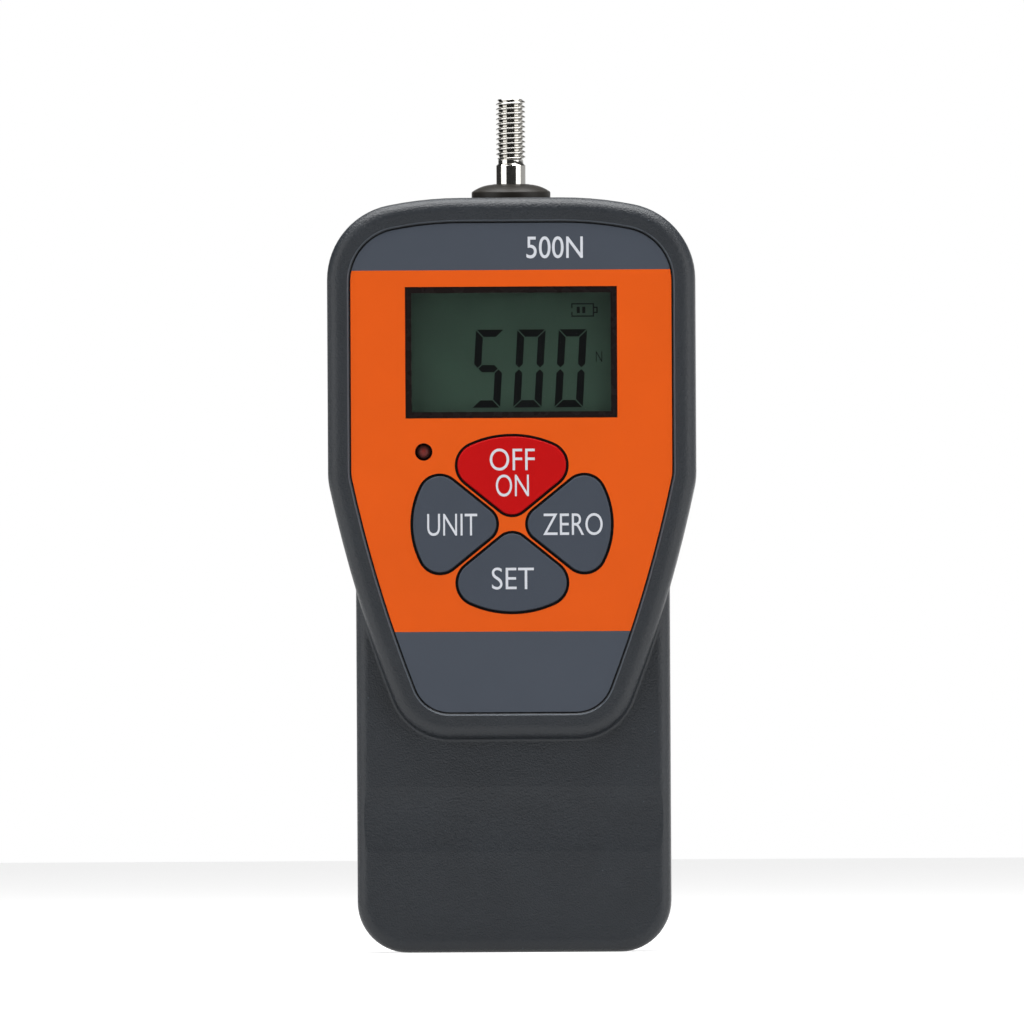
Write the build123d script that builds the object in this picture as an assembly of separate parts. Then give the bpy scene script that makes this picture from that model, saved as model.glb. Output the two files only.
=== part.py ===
"""Handheld digital force gauge with a threaded sensor shaft, in millimetres.

The gauge stands on its lower end. +Z runs along the measuring axis, the display faces -Y, and
the shaft's axis is the line x = 0, y = 0, where the front and back case halves meet.
"""

import os
from math import radians, sin, sqrt, tan

from build123d import *

# Case outline, front view
body_height = 151.0          # lower end to the crown
case_depth = 36.0            # rim of the head to the flat back
head_width = 73.6
crown_flat = 20.0            # straight middle of the crown, where the collar sits
crown_radius = 74.0
head_corner_radius = 15.2
shoulder_drop = 56.5         # crown to where the sides start to taper
shoulder_radius = 14.0
taper_radius = 280.0
foot_height = 42.8           # lower end to the foot of the raised head
foot_width = 41.4            # taper to taper at the foot, before its corners are rounded
foot_corner_radius = 12.0
grip_width = 62.7
grip_corner_radius = 10.1
waist_radius = 3.0           # inside corner where the head's taper meets the grip
grip_step = 4.0              # the grip's front lies this far behind the rim

# Case walls and edges
wall = 2.2
front_wall = 2.0
back_wall = 2.5
rim_width = 4.4              # rim at the face panel's sides
rim_crown_width = 4.8
rim_foot_width = 5.0
rim_edge_radius = 2.6
rim_inner_chamfer = 0.4
foot_fillet = 0.7
grip_edge_radius = 2.4
dish_rise = 26.6             # thumb dish across the grip's front, middle above the lower end
dish_height = 13.0
dish_depth = 0.22
back_edge_radius = 3.0
parting_chamfer = 0.3
lip_thickness = 1.0
lip_height = 1.2
lip_clearance = 0.1
past = 1.0                   # how far a cut runs beyond the surface it opens

# Face panel
panel_thickness = 1.2
panel_drop = 0.35            # panel face below the rim
panel_gap = 0.3              # groove between the panel's edge and the rim

# Display
display_drop = 30.95         # crown to the display's centre
display_width = 42.2         # black frame, outside
display_height = 26.1
display_frame_width = 1.15
display_frame_drop = 0.1     # frame below the panel's face
frame_gap = 0.1              # frame to the openings it passes through
window_drop = 1.2            # window below the panel's face
window_thickness = 1.5
window_ledge = 0.5           # how far the window reaches behind the frame's lip
lcd_thickness = 2.1
lcd_margin = 1.2             # glass beyond the frame, each side
lcd_gap = 0.1                # glass behind the front wall
holder_wall = 1.0
strip_thickness = 2.4

# Keypad
keypad_drop = 65.3           # crown to the point the four keys surround
key_web = 1.44               # cap to cap across the diagonal strip
web_angle = 39.0             # strip's slope from the horizontal
key_apex_radius = 3.4
key_gap = 0.15               # cap to panel
key_proud = 0.2              # cap above the panel's face
key_edge_radius = 0.25
key_flange = 0.4             # rim behind the panel that keeps the cap in
key_flange_thickness = 0.8
key_flange_gap = 0.05
key_travel = 0.3
stem_length = 0.7            # cap's back to the switch plunger
stem_diameter = 5.0
high_key = {"reach": 17.5, "outer": 20.0, "corner": 4.3}
wide_key = {"reach": 19.8, "outer": 16.4, "corner": 4.0}
well_margin = 0.5            # case opening beyond the key flanges

# Tactile switches under the keys
switch_size = 6.0
switch_corner_radius = 0.5
switch_height = 3.5
plunger_diameter = 3.5
plunger_height = 1.5         # above the switch body
plunger_depth = 0.8          # inside the switch body
fit_gap = 0.05               # radial running clearance

# Status lamp
lamp_x = -17.6
lamp_rise = 14.5             # above the keypad's middle
lamp_hole = 3.5
lamp_diameter = 3.0
lamp_drop = 0.45             # dome tip below the panel's face
lamp_flange = 0.4
lamp_body_length = 5.0
lead_size = 0.5
lead_pitch = 1.6

# Main circuit board
board_thickness = 1.6
board_margin = 0.55          # to the grip's inner wall
board_top_drop = 16.0        # crown to the board's top edge
board_foot_rise = 16.0       # head's foot to the board's lower edge
board_corner_radius = 2.0
board_post_diameter = 5.0
board_screw_inset = 2.8      # screw axis from the board's edge
board_post_gap = 1.0         # upper posts to the display's holder
chip_height = 1.3
chip_rise = 6.0              # lower chips' middle above the board's lower edge
driver_size = (12.0, 12.0)   # display driver, behind the glass
amplifier_size = (9.0, 6.0)
amplifier_x = -12.0
memory_size = (6.0, 5.0)
memory_x = 10.0

# Sensor shaft, M6
shaft_diameter = 5.9
thread_diameter = 5.8
thread_length = 12.9
shank_length = 4.1           # plain length above the collar
thread_relief = 0.35
relief_length = 0.7
shaft_end_chamfer = 0.9
thread_engagement = 8.0      # in the load cell
nut_across_flats = 10.0
nut_height = 5.0

# Collar where the shaft leaves the case
collar_diameter = 15.8
collar_rim = 1.2             # upright edge
collar_rim_radius = 0.4
collar_dome = 1.6
collar_dome_bulge = 0.3      # dome above the straight line from its edge to its mouth
collar_mouth = 0.9           # dome's inner edge from the bore
collar_mouth_land = 0.4
collar_mouth_chamfer = 0.1
collar_neck_diameter = 10.0
collar_keeper_diameter = 13.0
collar_keeper = 2.4
collar_gap = 0.1
collar_bore_gap = 0.08       # radial, around the shaft

# Load cell, S-shaped beam
cell_width = 34.0
cell_height = 44.0
cell_screw_gap = 1.3         # to the screw heads on the chassis
cell_arm = 11.0              # height of each arm
cell_slot = 2.4
cell_hinge = 6.0             # metal left at the slot's blind end
cell_window = (13.0, 14.0)
cell_window_radius = 3.0
cell_drop = 18.0             # crown to the top of the load cell
gauge_thickness = 0.2
gauge_height = 2.5
gauge_margin = 1.6           # gauge to the load cell's face
gauge_gap = 0.8              # between the two gauges of a side

# Chassis that carries the load cell to the stand bosses
chassis_width = 44.0
chassis_thickness = 3.0
chassis_stand_off = 3.0      # plate to the back wall
chassis_top_rise = 6.0       # plate above the load cell
shelf_thickness = 8.0
gusset_thickness = 4.0
gusset_spacing = 20.0        # middle to middle
gusset_height = 8.0
gusset_set_back = 2.0        # gusset's toe behind the shelf's front
chassis_pad_diameter = 8.0
chassis_screw_inset_x = 4.0
chassis_screw_inset_z = 5.0

# Stand mount, four M4 holes in the back
stand_spacing_x = 30.0
stand_spacing_z = 30.0
stand_hole_diameter = 3.3
stand_boss_diameter = 8.0
stand_spigot_diameter = 6.0

# Battery pack
battery_length = 44.5
battery_cap_height = 0.6
battery_cap_diameter = 4.2
battery_columns = 3
battery_rows = 2
battery_spacing = 0.3
tab_thickness = 0.3
tab_width = 7.0
tray_wall = 1.2
tray_depth = 14.0            # tray's sides, from the back wall
board_clearance = 1.0        # batteries to the main board
battery_gap = 1.4            # above the socket board

# Sockets at the lower end
socket_board_width = 38.0
socket_board_height = 16.0
socket_board_lift = 0.4      # board above the lower wall
socket_post_diameter = 5.0
jack_size = 9.0
jack_front_gap = 1.6         # to the grip's front wall
jack_length = 13.0
jack_x = -9.5
jack_hole = 6.4
jack_depth = 9.5
jack_pin_diameter = 2.0
jack_pin_recess = 0.6        # pin's tip inside the lower end
port_x = 9.0
port_width = 7.7
port_height = 4.0
port_length = 9.0
port_wall = 0.5
port_tongue = (3.8, 0.9)
socket_gap = 0.3             # case opening beyond a socket

# Screws
screw_diameter = 3.0
screw_head_diameter = 5.5
screw_head_height = 2.2
screw_gap = 0.1
small_screw_diameter = 2.0
small_head_diameter = 3.8
small_head_height = 1.4
case_boss_diameter = 8.4
case_boss_inset = 9.4        # head: boss axis from the side
case_boss_drop = 10.8        # head: boss axis below the crown
grip_boss_inset = 7.35       # grip: boss axis from the side
grip_boss_rise = 7.8         # grip: boss axis above the lower end
case_screw_length = 14.0
counterbore_gap = 0.25       # around a screw head
counterbore_floor = 4.0      # boss left under the screw head
chassis_screw_length = 6.0
board_screw_length = 4.0
socket_screw_length = 5.0
bolt_diameter = 6.0
bolt_head_diameter = 10.0
bolt_head_height = 6.0
bolt_engagement = 8.0

# Levels worked out from the sizes above; front is -Y
front_y = -case_depth / 2
back_y = case_depth / 2
panel_y = front_y + panel_drop
recess_y = panel_y + panel_thickness
head_inner_y = recess_y + front_wall
grip_front_y = front_y + grip_step
grip_inner_y = grip_front_y + wall
back_inner_y = back_y - back_wall
shoulder_z = body_height - shoulder_drop
display_z = body_height - display_drop
keypad_z = body_height - keypad_drop
key_seat_y = recess_y + key_flange_gap
key_back_y = key_seat_y + key_flange_thickness
key_stem_y = key_back_y + stem_length
switch_front_y = key_stem_y + plunger_height
board_front_y = switch_front_y + switch_height
board_back_y = board_front_y + board_thickness
cell_top = body_height - cell_drop
cell_bottom = cell_top - cell_height
shelf_bottom = cell_bottom - shelf_thickness
plate_back_y = back_inner_y - chassis_stand_off
plate_front_y = plate_back_y - chassis_thickness
cell_thickness = 2 * (plate_front_y - screw_head_height - cell_screw_gap)
gauge_width = (cell_thickness - gauge_gap) / 2 - gauge_margin
collar_top = body_height + collar_rim + collar_dome
thread_start = collar_top + shank_length
shaft_top = thread_start + thread_length
socket_board_front_y = grip_inner_y + jack_front_gap + jack_size
socket_board_top = wall + socket_board_lift + socket_board_height
battery_room = back_inner_y - tray_wall - board_back_y - board_clearance
battery_diameter = battery_room / battery_rows - battery_spacing


def slab(sketch, front, back):
    """Extrude a front view (x, z) between two depths."""
    return extrude(Plane.XZ.offset(-back) * sketch, amount=back - front)


def box(width, depth, height, x=0.0, y=0.0, z=0.0):
    """Box centred on x and y that stands on z."""
    return Pos(x, y, z) * Box(width, depth, height, align=(Align.CENTER, Align.CENTER, Align.MIN))


def post(diameter, front, back, place):
    """Cylinder along Y between two depths, at a place in the front view."""
    return slab(Pos(*place) * Circle(diameter / 2), front, back)


def upright(diameter, bottom, top, x=0.0, y=0.0):
    """Cylinder along Z between two heights."""
    return Pos(x, y, (bottom + top) / 2) * Cylinder(diameter / 2, top - bottom)


def turned(points):
    """Solid of revolution about the shaft's axis, from points (radius, height)."""
    profile = make_face(Polyline(*points, close=True))
    return revolve(Plane.XZ * profile, Axis.Z)


def mirrored(x, z):
    """The same place on the left and on the right."""
    return [(-x, z), (x, z)]


def round_corners(face, corner, radius):
    """Round the corner of a front view nearest to a point, and its mirror image."""
    places = [Vector(side * corner[0], corner[1]) for side in (-1, 1)]
    corners = [face.vertices().sort_by_distance(place)[0] for place in places]
    return fillet(corners, radius)


def shield_view():
    """Head outline: crowned top, straight sides, then a gentle taper to a narrow foot."""
    side = head_width / 2
    crown_start = (crown_flat / 2, body_height)
    crown_rise = sqrt(crown_radius**2 - (side - crown_flat / 2) ** 2)
    crown_end = (side, body_height - crown_radius + crown_rise)
    shoulder = (side, shoulder_z)
    foot = (foot_width / 2, foot_height)
    right = Curve() + [
        RadiusArc(crown_start, crown_end, crown_radius),
        Line(crown_end, shoulder),
        RadiusArc(shoulder, foot, taper_radius),
    ]
    top = Line((-crown_start[0], body_height), crown_start)
    bottom = Line((-foot[0], foot_height), foot)
    view = make_face(Curve() + [top, bottom, right, mirror(right, Plane.YZ)])
    view = round_corners(view, crown_end, head_corner_radius)
    view = round_corners(view, shoulder, shoulder_radius)
    return round_corners(view, foot, foot_corner_radius)


def grip_view():
    """Grip outline: a plain rectangle with rounded lower corners, hidden by the head above."""
    view = Pos(0, shoulder_z / 2) * Rectangle(grip_width, shoulder_z)
    return round_corners(view, (grip_width / 2, 0), grip_corner_radius)


def case_view(shield, grip):
    """Outline of the whole case, with the inside corners at the waist rounded."""
    view = shield + grip
    side = grip_width / 2
    waist = [v for v in view.vertices() if abs(abs(v.X) - side) < 1e-5 and v.Y > foot_height]
    return fillet(waist, waist_radius)


def key_view(half_angle, reach, outer, corner, growth=0.0):
    """Rounded sector that points at the keypad's middle, drawn along +Y, grown by an even margin."""
    apex = key_web / 2 / sin(radians(half_angle))
    far = 2 * reach
    spread = (far - apex) * tan(radians(half_angle))
    wedge = make_face(Polyline((0, apex), (spread, far), (-spread, far), close=True))
    view = wedge & (Pos(0, reach - outer) * Circle(outer))
    tip = view.vertices().sort_by(Axis.Y)[0]
    view = fillet(tip, key_apex_radius)
    ends = [v for v in view.vertices() if v.Y > reach / 2]
    view = fillet(ends, corner)
    return offset(view, amount=growth) if growth else view


def key_views(growth=0.0):
    """The four key outlines in the front view, by name."""
    steep = 90 - web_angle
    turns = {"power": (0, steep, high_key), "unit": (90, web_angle, wide_key),
             "set": (180, steep, high_key), "zero": (270, web_angle, wide_key)}
    views = {}
    for name, (turn, half_angle, size) in turns.items():
        outline = key_view(half_angle, **size, growth=growth)
        views[name] = Pos(0, keypad_z) * Rot(0, 0, turn) * outline
    return views


def switch_places():
    """Middle of each key, where its switch stands."""
    places = {}
    for name, direction, size, half_angle in (
        ("power", (0, 1), high_key, 90 - web_angle),
        ("unit", (-1, 0), wide_key, web_angle),
        ("set", (0, -1), high_key, 90 - web_angle),
        ("zero", (1, 0), wide_key, web_angle),
    ):
        apex = key_web / 2 / sin(radians(half_angle))
        middle = (apex + size["reach"]) / 2
        places[name] = (direction[0] * middle, keypad_z + direction[1] * middle)
    return places


def display_view(margin):
    """Rectangle around the display, grown from the frame's outside by a margin."""
    return Pos(0, display_z) * Rectangle(display_width + 2 * margin, display_height + 2 * margin)


def recess_view():
    """Opening inside the rim, with more rim at the crown and at the foot than at the sides."""
    even = offset(shield_view(), amount=-rim_width)
    lowered = Pos(0, rim_width - rim_crown_width) * even
    raised = Pos(0, rim_foot_width - rim_width) * even
    return lowered & raised


def lamp_place():
    return (lamp_x, keypad_z + lamp_rise)


def case_screw_places():
    head = mirrored(head_width / 2 - case_boss_inset, body_height - case_boss_drop)
    return head + mirrored(grip_width / 2 - grip_boss_inset, grip_boss_rise)


def board_half_width():
    return grip_width / 2 - wall - board_margin


def board_limits():
    """Lower and upper edge of the main board."""
    return foot_height + board_foot_rise, body_height - board_top_drop


def board_screw_places():
    x = board_half_width() - board_screw_inset
    low = board_limits()[0] + board_screw_inset
    holder_foot = display_z - display_height / 2 - lcd_margin - holder_wall
    high = holder_foot - board_post_gap - board_post_diameter / 2
    return mirrored(x, low) + mirrored(x, high)


def chassis_limits():
    """Lower and upper edge of the chassis plate."""
    return shelf_bottom - gusset_height, cell_top + chassis_top_rise


def chassis_screw_places():
    low, high = chassis_limits()
    x = chassis_width / 2 - chassis_screw_inset_x
    return mirrored(x, low + chassis_screw_inset_z) + mirrored(x, high - chassis_screw_inset_z)


def stand_places():
    middle = sum(chassis_limits()) / 2
    x, z = stand_spacing_x / 2, stand_spacing_z / 2
    return mirrored(x, middle - z) + mirrored(x, middle + z)


def socket_post_places():
    x = socket_board_width / 2 - socket_post_diameter / 2
    return mirrored(x, socket_board_top - socket_post_diameter / 2)


def well_view():
    """One opening in the front wall, behind all four keys."""
    middle = Pos(0, keypad_z) * Circle(key_apex_radius)
    return middle + list(key_views(growth=key_flange + well_margin).values())


def hollow_case():
    """Empty space inside the front half: shallow in the grip, deeper behind the head."""
    shield, grip = shield_view(), grip_view()
    whole = slab(offset(case_view(shield, grip), amount=-wall), grip_inner_y, 0)
    return whole + slab(offset(shield, amount=-wall), head_inner_y, 0)


def outer_front():
    """Outside of the front half, with its raised head."""
    shield, grip = shield_view(), grip_view()
    head = slab(shield, front_y, 0)
    head = fillet(head.faces().sort_by(Axis.Y)[0].edges(), rim_edge_radius)
    body = slab(grip, grip_front_y, 0)
    body = fillet(body.faces().sort_by(Axis.Y)[0].edges(), grip_edge_radius) - grip_dish()
    infill = slab(case_view(shield, grip), grip_front_y + grip_edge_radius, 0)
    return fillet(foot_edges(head + body + infill), foot_fillet)


def grip_dish():
    """Wide shallow trough across the grip's front, where the thumb rests."""
    radius = (dish_height**2 / 4 + dish_depth**2) / (2 * dish_depth)
    trough = Rot(0, 90, 0) * Cylinder(radius, grip_width + 2 * past)
    return Pos(0, grip_front_y + dish_depth - radius, dish_rise) * trough


def foot_edges(outer):
    """Edges where the raised head's side meets the grip's front."""
    grip_side = grip_width / 2
    seam = []
    for edge in outer.edges():
        middle = edge.center()
        on_grip = grip_front_y - 1e-4 < middle.Y < grip_front_y + grip_edge_radius - 1e-4
        inside = abs(middle.X) < grip_side - 1e-4 and middle.Z > foot_height - 1e-4
        if on_grip and inside and abs(abs(middle.X) - (grip_side - grip_edge_radius)) > 1e-4:
            seam.append(edge)
    return seam


def parting_edges(shell):
    """Outer edges of a case half in the plane where the halves meet."""
    face = shell.faces().filter_by_position(Axis.Y, -1e-4, 1e-4).sort_by(SortBy.AREA)[-1]
    return face.outer_wire().edges()


def collar_hole():
    """Hole in the crown for the collar's neck."""
    diameter = collar_neck_diameter + 2 * collar_gap
    return upright(diameter, body_height - wall - past, body_height + past)


def socket_openings():
    """Openings in the lower wall for the charging jack and the data port."""
    jack_y = socket_board_front_y - jack_size / 2
    port_y = socket_board_front_y - port_height / 2
    round_hole = upright(jack_size - 2 * socket_gap, -past, wall + past, jack_x, jack_y)
    width, depth = port_width + 2 * socket_gap, port_height + 2 * socket_gap
    return round_hole + box(width, depth, wall + 2 * past, port_x, port_y, -past)


def front_case():
    """Front half: raised head with a recess for the panel, bosses and openings."""
    outer = chamfer(parting_edges(outer_front()), parting_chamfer)
    shell = outer - hollow_case()
    posts = [post(case_boss_diameter, front_y, 0, place) for place in case_screw_places()]
    for place in board_screw_places():
        posts.append(post(board_post_diameter, front_y, board_front_y, place))
    for column in posts:
        shell += column & outer
    shell -= slab(recess_view(), front_y - past, recess_y)
    shell -= slab(well_view(), recess_y - past, head_inner_y + past)
    shell -= slab(display_view(frame_gap), recess_y - past, head_inner_y + past)
    shell -= post(lamp_diameter + lamp_flange, recess_y - past, head_inner_y + past, lamp_place())
    case_pilot = case_screw_length - counterbore_floor + screw_gap
    board_pilot = board_screw_length - board_thickness + screw_gap
    for place in case_screw_places():
        shell -= post(screw_diameter + screw_gap, -case_pilot, past, place)
    for place in board_screw_places():
        hole = small_screw_diameter + screw_gap
        shell -= post(hole, board_front_y - board_pilot, board_front_y + past, place)
    whole = case_view(shield_view(), grip_view())
    inside, outside = offset(whole, amount=-wall), offset(whole, amount=lip_thickness - wall)
    shell += slab(outside - inside, -wall, lip_height)
    shell = shell - collar_hole() - socket_openings()
    rim = shell.faces().filter_by_position(Axis.Y, front_y - 1e-4, front_y + 1e-4)[0]
    return chamfer(rim.inner_wires()[0].edges(), rim_inner_chamfer)


def back_case():
    """Back half: flat back with rounded edges, screw bosses, chassis pads and socket posts."""
    whole = case_view(shield_view(), grip_view())
    inside = offset(whole, amount=-wall)
    outer = slab(whole, 0, back_y)
    outer = fillet(outer.faces().sort_by(Axis.Y)[-1].edges(), back_edge_radius)
    outer = chamfer(parting_edges(outer), parting_chamfer)
    shell = outer - slab(inside, 0, back_inner_y)
    for place in case_screw_places():
        shell += post(case_boss_diameter, 0, back_inner_y + past, place)
    for place in chassis_screw_places():
        shell += post(chassis_pad_diameter, plate_back_y, back_inner_y + past, place)
    socket_board_back_y = socket_board_front_y + board_thickness
    for place in socket_post_places():
        shell += post(socket_post_diameter, socket_board_back_y, back_inner_y + past, place)
    head_hole = screw_head_diameter + 2 * counterbore_gap
    for place in case_screw_places():
        shell -= post(screw_diameter + screw_gap, -past, back_y, place)
        shell -= post(head_hole, counterbore_floor, back_y + past, place)
    for place in chassis_screw_places():
        tip = plate_front_y + chassis_screw_length + screw_gap
        shell -= post(screw_diameter + screw_gap, plate_back_y - past, tip, place)
    for place in socket_post_places():
        tip = socket_board_front_y + socket_screw_length + screw_gap
        shell -= post(small_screw_diameter + screw_gap, socket_board_back_y - past, tip, place)
    for place in stand_places():
        shell -= post(stand_boss_diameter + 2 * screw_gap, back_inner_y - past, back_y + past, place)
    groove = offset(whole, amount=lip_thickness + lip_clearance - wall) - inside
    shell -= slab(groove, -past, lip_height + lip_clearance)
    return shell - collar_hole() - socket_openings()


def face_panel():
    """Panel in the head's recess, with openings for the display, lamp and keys."""
    view = offset(recess_view(), amount=-panel_gap)
    view -= display_view(frame_gap)
    view -= Pos(*lamp_place()) * Circle(lamp_hole / 2)
    for outline in key_views(growth=key_gap).values():
        view -= outline
    return slab(view, panel_y, recess_y)


def display_frame():
    """Black frame with a rebate behind it for the window."""
    opening = display_view(-display_frame_width)
    rebate = display_view(window_ledge - display_frame_width)
    ring = slab(display_view(0), panel_y + display_frame_drop, head_inner_y)
    ring -= slab(opening, front_y, head_inner_y + past)
    return ring - slab(rebate, panel_y + window_drop, head_inner_y + past)


def display_window():
    view = display_view(window_ledge - display_frame_width - frame_gap)
    return slab(view, panel_y + window_drop, panel_y + window_drop + window_thickness)


def lcd_levels():
    """Front and back of the LCD glass."""
    return head_inner_y + lcd_gap, head_inner_y + lcd_gap + lcd_thickness


def lcd_cell():
    return slab(display_view(lcd_margin), *lcd_levels())


def lcd_holder():
    """Frame on the board that carries the glass on a ledge all round."""
    front, back = lcd_levels()
    outside = display_view(lcd_margin + frame_gap + holder_wall)
    ring = slab(outside, front, board_front_y)
    ring -= slab(display_view(lcd_margin + frame_gap), front - past, back)
    return ring - slab(display_view(lcd_margin - holder_wall), back - past, board_front_y + past)


def lcd_strips():
    """Conductive rubber strips along the glass's upper and lower edges."""
    back = lcd_levels()[1]
    rise = display_height / 2 + lcd_margin - holder_wall - strip_thickness / 2 - frame_gap
    view = Rectangle(display_width - 2 * strip_thickness, strip_thickness)
    return [slab(Pos(0, display_z + side * rise) * view, back, board_front_y) for side in (-1, 1)]


def status_lamp():
    """Red lamp with a round tip, a flange and two leads down to the board."""
    radius = lamp_diameter / 2
    tip = panel_y + lamp_drop
    base = tip + lamp_body_length
    x, z = lamp_place()
    body = post(lamp_diameter, tip + radius, base, (x, z)) + Pos(x, tip + radius, z) * Sphere(radius)
    body += post(lamp_diameter + 2 * lamp_flange, base, base + lamp_flange, (x, z))
    for side in (-1, 1):
        lead = Pos(x + side * lead_pitch / 2, z) * Rectangle(lead_size, lead_size)
        body += slab(lead, base, board_front_y)
    return body


def key(name):
    """Key cap: shaped top, a thin flange behind the panel and a stem on the switch."""
    cap_front = panel_y - key_proud
    cap = slab(key_views()[name], cap_front, key_back_y)
    cap = fillet(cap.faces().sort_by(Axis.Y)[0].edges(), key_edge_radius)
    cap += slab(key_views(growth=key_flange)[name], key_seat_y, key_back_y)
    return cap + post(stem_diameter, key_back_y, key_stem_y, switch_places()[name])


def plunger(name):
    return post(plunger_diameter, key_stem_y, switch_front_y + plunger_depth, switch_places()[name])


def key_switches():
    """Square switch bodies, each bored for its plunger and the plunger's travel."""
    view = RectangleRounded(switch_size, switch_size, switch_corner_radius)
    bore = plunger_diameter + 2 * fit_gap
    floor = switch_front_y + plunger_depth + key_travel + fit_gap
    bodies = []
    for place in switch_places().values():
        body = slab(Pos(*place) * view, switch_front_y, board_front_y)
        bodies.append(body - post(bore, switch_front_y - past, floor, place))
    return bodies


def main_board():
    low, high = board_limits()
    view = RectangleRounded(2 * board_half_width(), high - low, board_corner_radius)
    board = slab(Pos(0, (low + high) / 2) * view, board_front_y, board_back_y)
    for place in board_screw_places():
        board -= post(small_screw_diameter + screw_gap, board_front_y - past, board_back_y + past, place)
    return board


def board_chips():
    """Display driver under the glass, and amplifier and memory near the lower edge."""
    lower_z = board_limits()[0] + chip_rise
    views = [
        Pos(0, display_z) * Rectangle(*driver_size),
        Pos(amplifier_x, lower_z) * Rectangle(*amplifier_size),
        Pos(memory_x, lower_z) * Rectangle(*memory_size),
    ]
    return [slab(view, board_front_y - chip_height, board_front_y) for view in views]


def screw(diameter, length, head_diameter, head_height, place, seat, side):
    """Screw along Y: its head stands on the seat, on the given side (+1 is the back)."""
    shank = sorted((seat, seat - side * length))
    head = sorted((seat, seat + side * head_height))
    return post(diameter, *shank, place) + post(head_diameter, *head, place)


def case_screws():
    size = (screw_diameter, case_screw_length, screw_head_diameter, screw_head_height)
    return [screw(*size, place, counterbore_floor, 1) for place in case_screw_places()]


def board_screws():
    size = (small_screw_diameter, board_screw_length, small_head_diameter, small_head_height)
    return [screw(*size, place, board_back_y, 1) for place in board_screw_places()]


def chassis_screws():
    size = (screw_diameter, chassis_screw_length, screw_head_diameter, screw_head_height)
    return [screw(*size, place, plate_front_y, -1) for place in chassis_screw_places()]


def socket_screws():
    size = (small_screw_diameter, socket_screw_length, small_head_diameter, small_head_height)
    return [screw(*size, place, socket_board_front_y, -1) for place in socket_post_places()]


def sensor_shaft():
    """Stud: plain shank through the collar, a relief groove, then the M6 thread."""
    plain, thread = shaft_diameter / 2, thread_diameter / 2
    neck = thread - thread_relief
    groove_top = thread_start + relief_length
    return turned([
        (0, cell_top - thread_engagement), (plain, cell_top - thread_engagement),
        (plain, thread_start - thread_relief), (neck, thread_start), (neck, groove_top),
        (thread, groove_top + thread_relief), (thread, shaft_top - shaft_end_chamfer),
        (thread - shaft_end_chamfer, shaft_top), (0, shaft_top),
    ])


def shaft_nut():
    """Hexagonal lock nut on top of the load cell."""
    hexagon = RegularPolygon(nut_across_flats / 2, 6, major_radius=False)
    nut = Pos(0, 0, cell_top) * extrude(hexagon, nut_height)
    return nut - upright(shaft_diameter + 2 * fit_gap, cell_top - past, cell_top + nut_height + past)


def shaft_collar():
    """Flanged collar with a low dome, kept in the crown by a wider foot below the wall."""
    bore = shaft_diameter / 2 + collar_bore_gap
    rim, neck, keeper = collar_diameter / 2, collar_neck_diameter / 2, collar_keeper_diameter / 2
    keeper_top = body_height - wall - collar_gap
    keeper_bottom = keeper_top - collar_keeper
    dome_start = (rim, body_height + collar_rim)
    dome_end = (bore + collar_mouth, collar_top - collar_mouth_chamfer)
    outline = Curve() + [
        Polyline(dome_end, (bore + collar_mouth_land, collar_top), (bore, collar_top),
                 (bore, keeper_bottom), (keeper, keeper_bottom), (keeper, keeper_top),
                 (neck, keeper_top), (neck, body_height), (rim, body_height), dome_start),
        SagittaArc(dome_start, dome_end, -collar_dome_bulge),
    ]
    collar = revolve(Plane.XZ * make_face(outline), Axis.Z)
    corner = [edge for edge in collar.edges() if abs(edge.center().Z - dome_start[1]) < 1e-4]
    return fillet(corner, collar_rim_radius)


def load_cell():
    """S-shaped beam: two slots from opposite sides and a window between them."""
    beam = box(cell_width, cell_thickness, cell_height, z=cell_bottom)
    reach = cell_width - cell_hinge
    middle = (cell_top + cell_bottom) / 2
    for side, height in ((1, cell_top - cell_arm - cell_slot), (-1, cell_bottom + cell_arm)):
        x = side * (cell_width - reach + past) / 2
        beam -= box(reach + past, cell_thickness + 2 * past, cell_slot, x=x, z=height)
    window = Pos(0, middle) * RectangleRounded(*cell_window, cell_window_radius)
    beam -= slab(window, -cell_thickness, cell_thickness)
    stud_foot = cell_top - thread_engagement - fit_gap
    beam -= upright(shaft_diameter + 2 * fit_gap, stud_foot, cell_top + past)
    bolt_tip = cell_bottom + bolt_engagement + screw_gap
    return beam - upright(bolt_diameter + screw_gap, cell_bottom - past, bolt_tip)


def strain_gauges():
    """Foil gauges on the flat sides of the load cell's window."""
    bottom = (cell_top + cell_bottom - gauge_height) / 2
    x, y = (cell_window[0] - gauge_thickness) / 2, (gauge_width + gauge_gap) / 2
    places = [(side * x, row * y) for side in (-1, 1) for row in (-1, 1)]
    return [box(gauge_thickness, gauge_width, gauge_height, *place, bottom) for place in places]


def load_cell_bolt():
    """Socket-head bolt from below the shelf into the load cell."""
    bolt = upright(bolt_diameter, shelf_bottom, cell_bottom + bolt_engagement)
    return bolt + upright(bolt_head_diameter, shelf_bottom - bolt_head_height, shelf_bottom)


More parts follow.
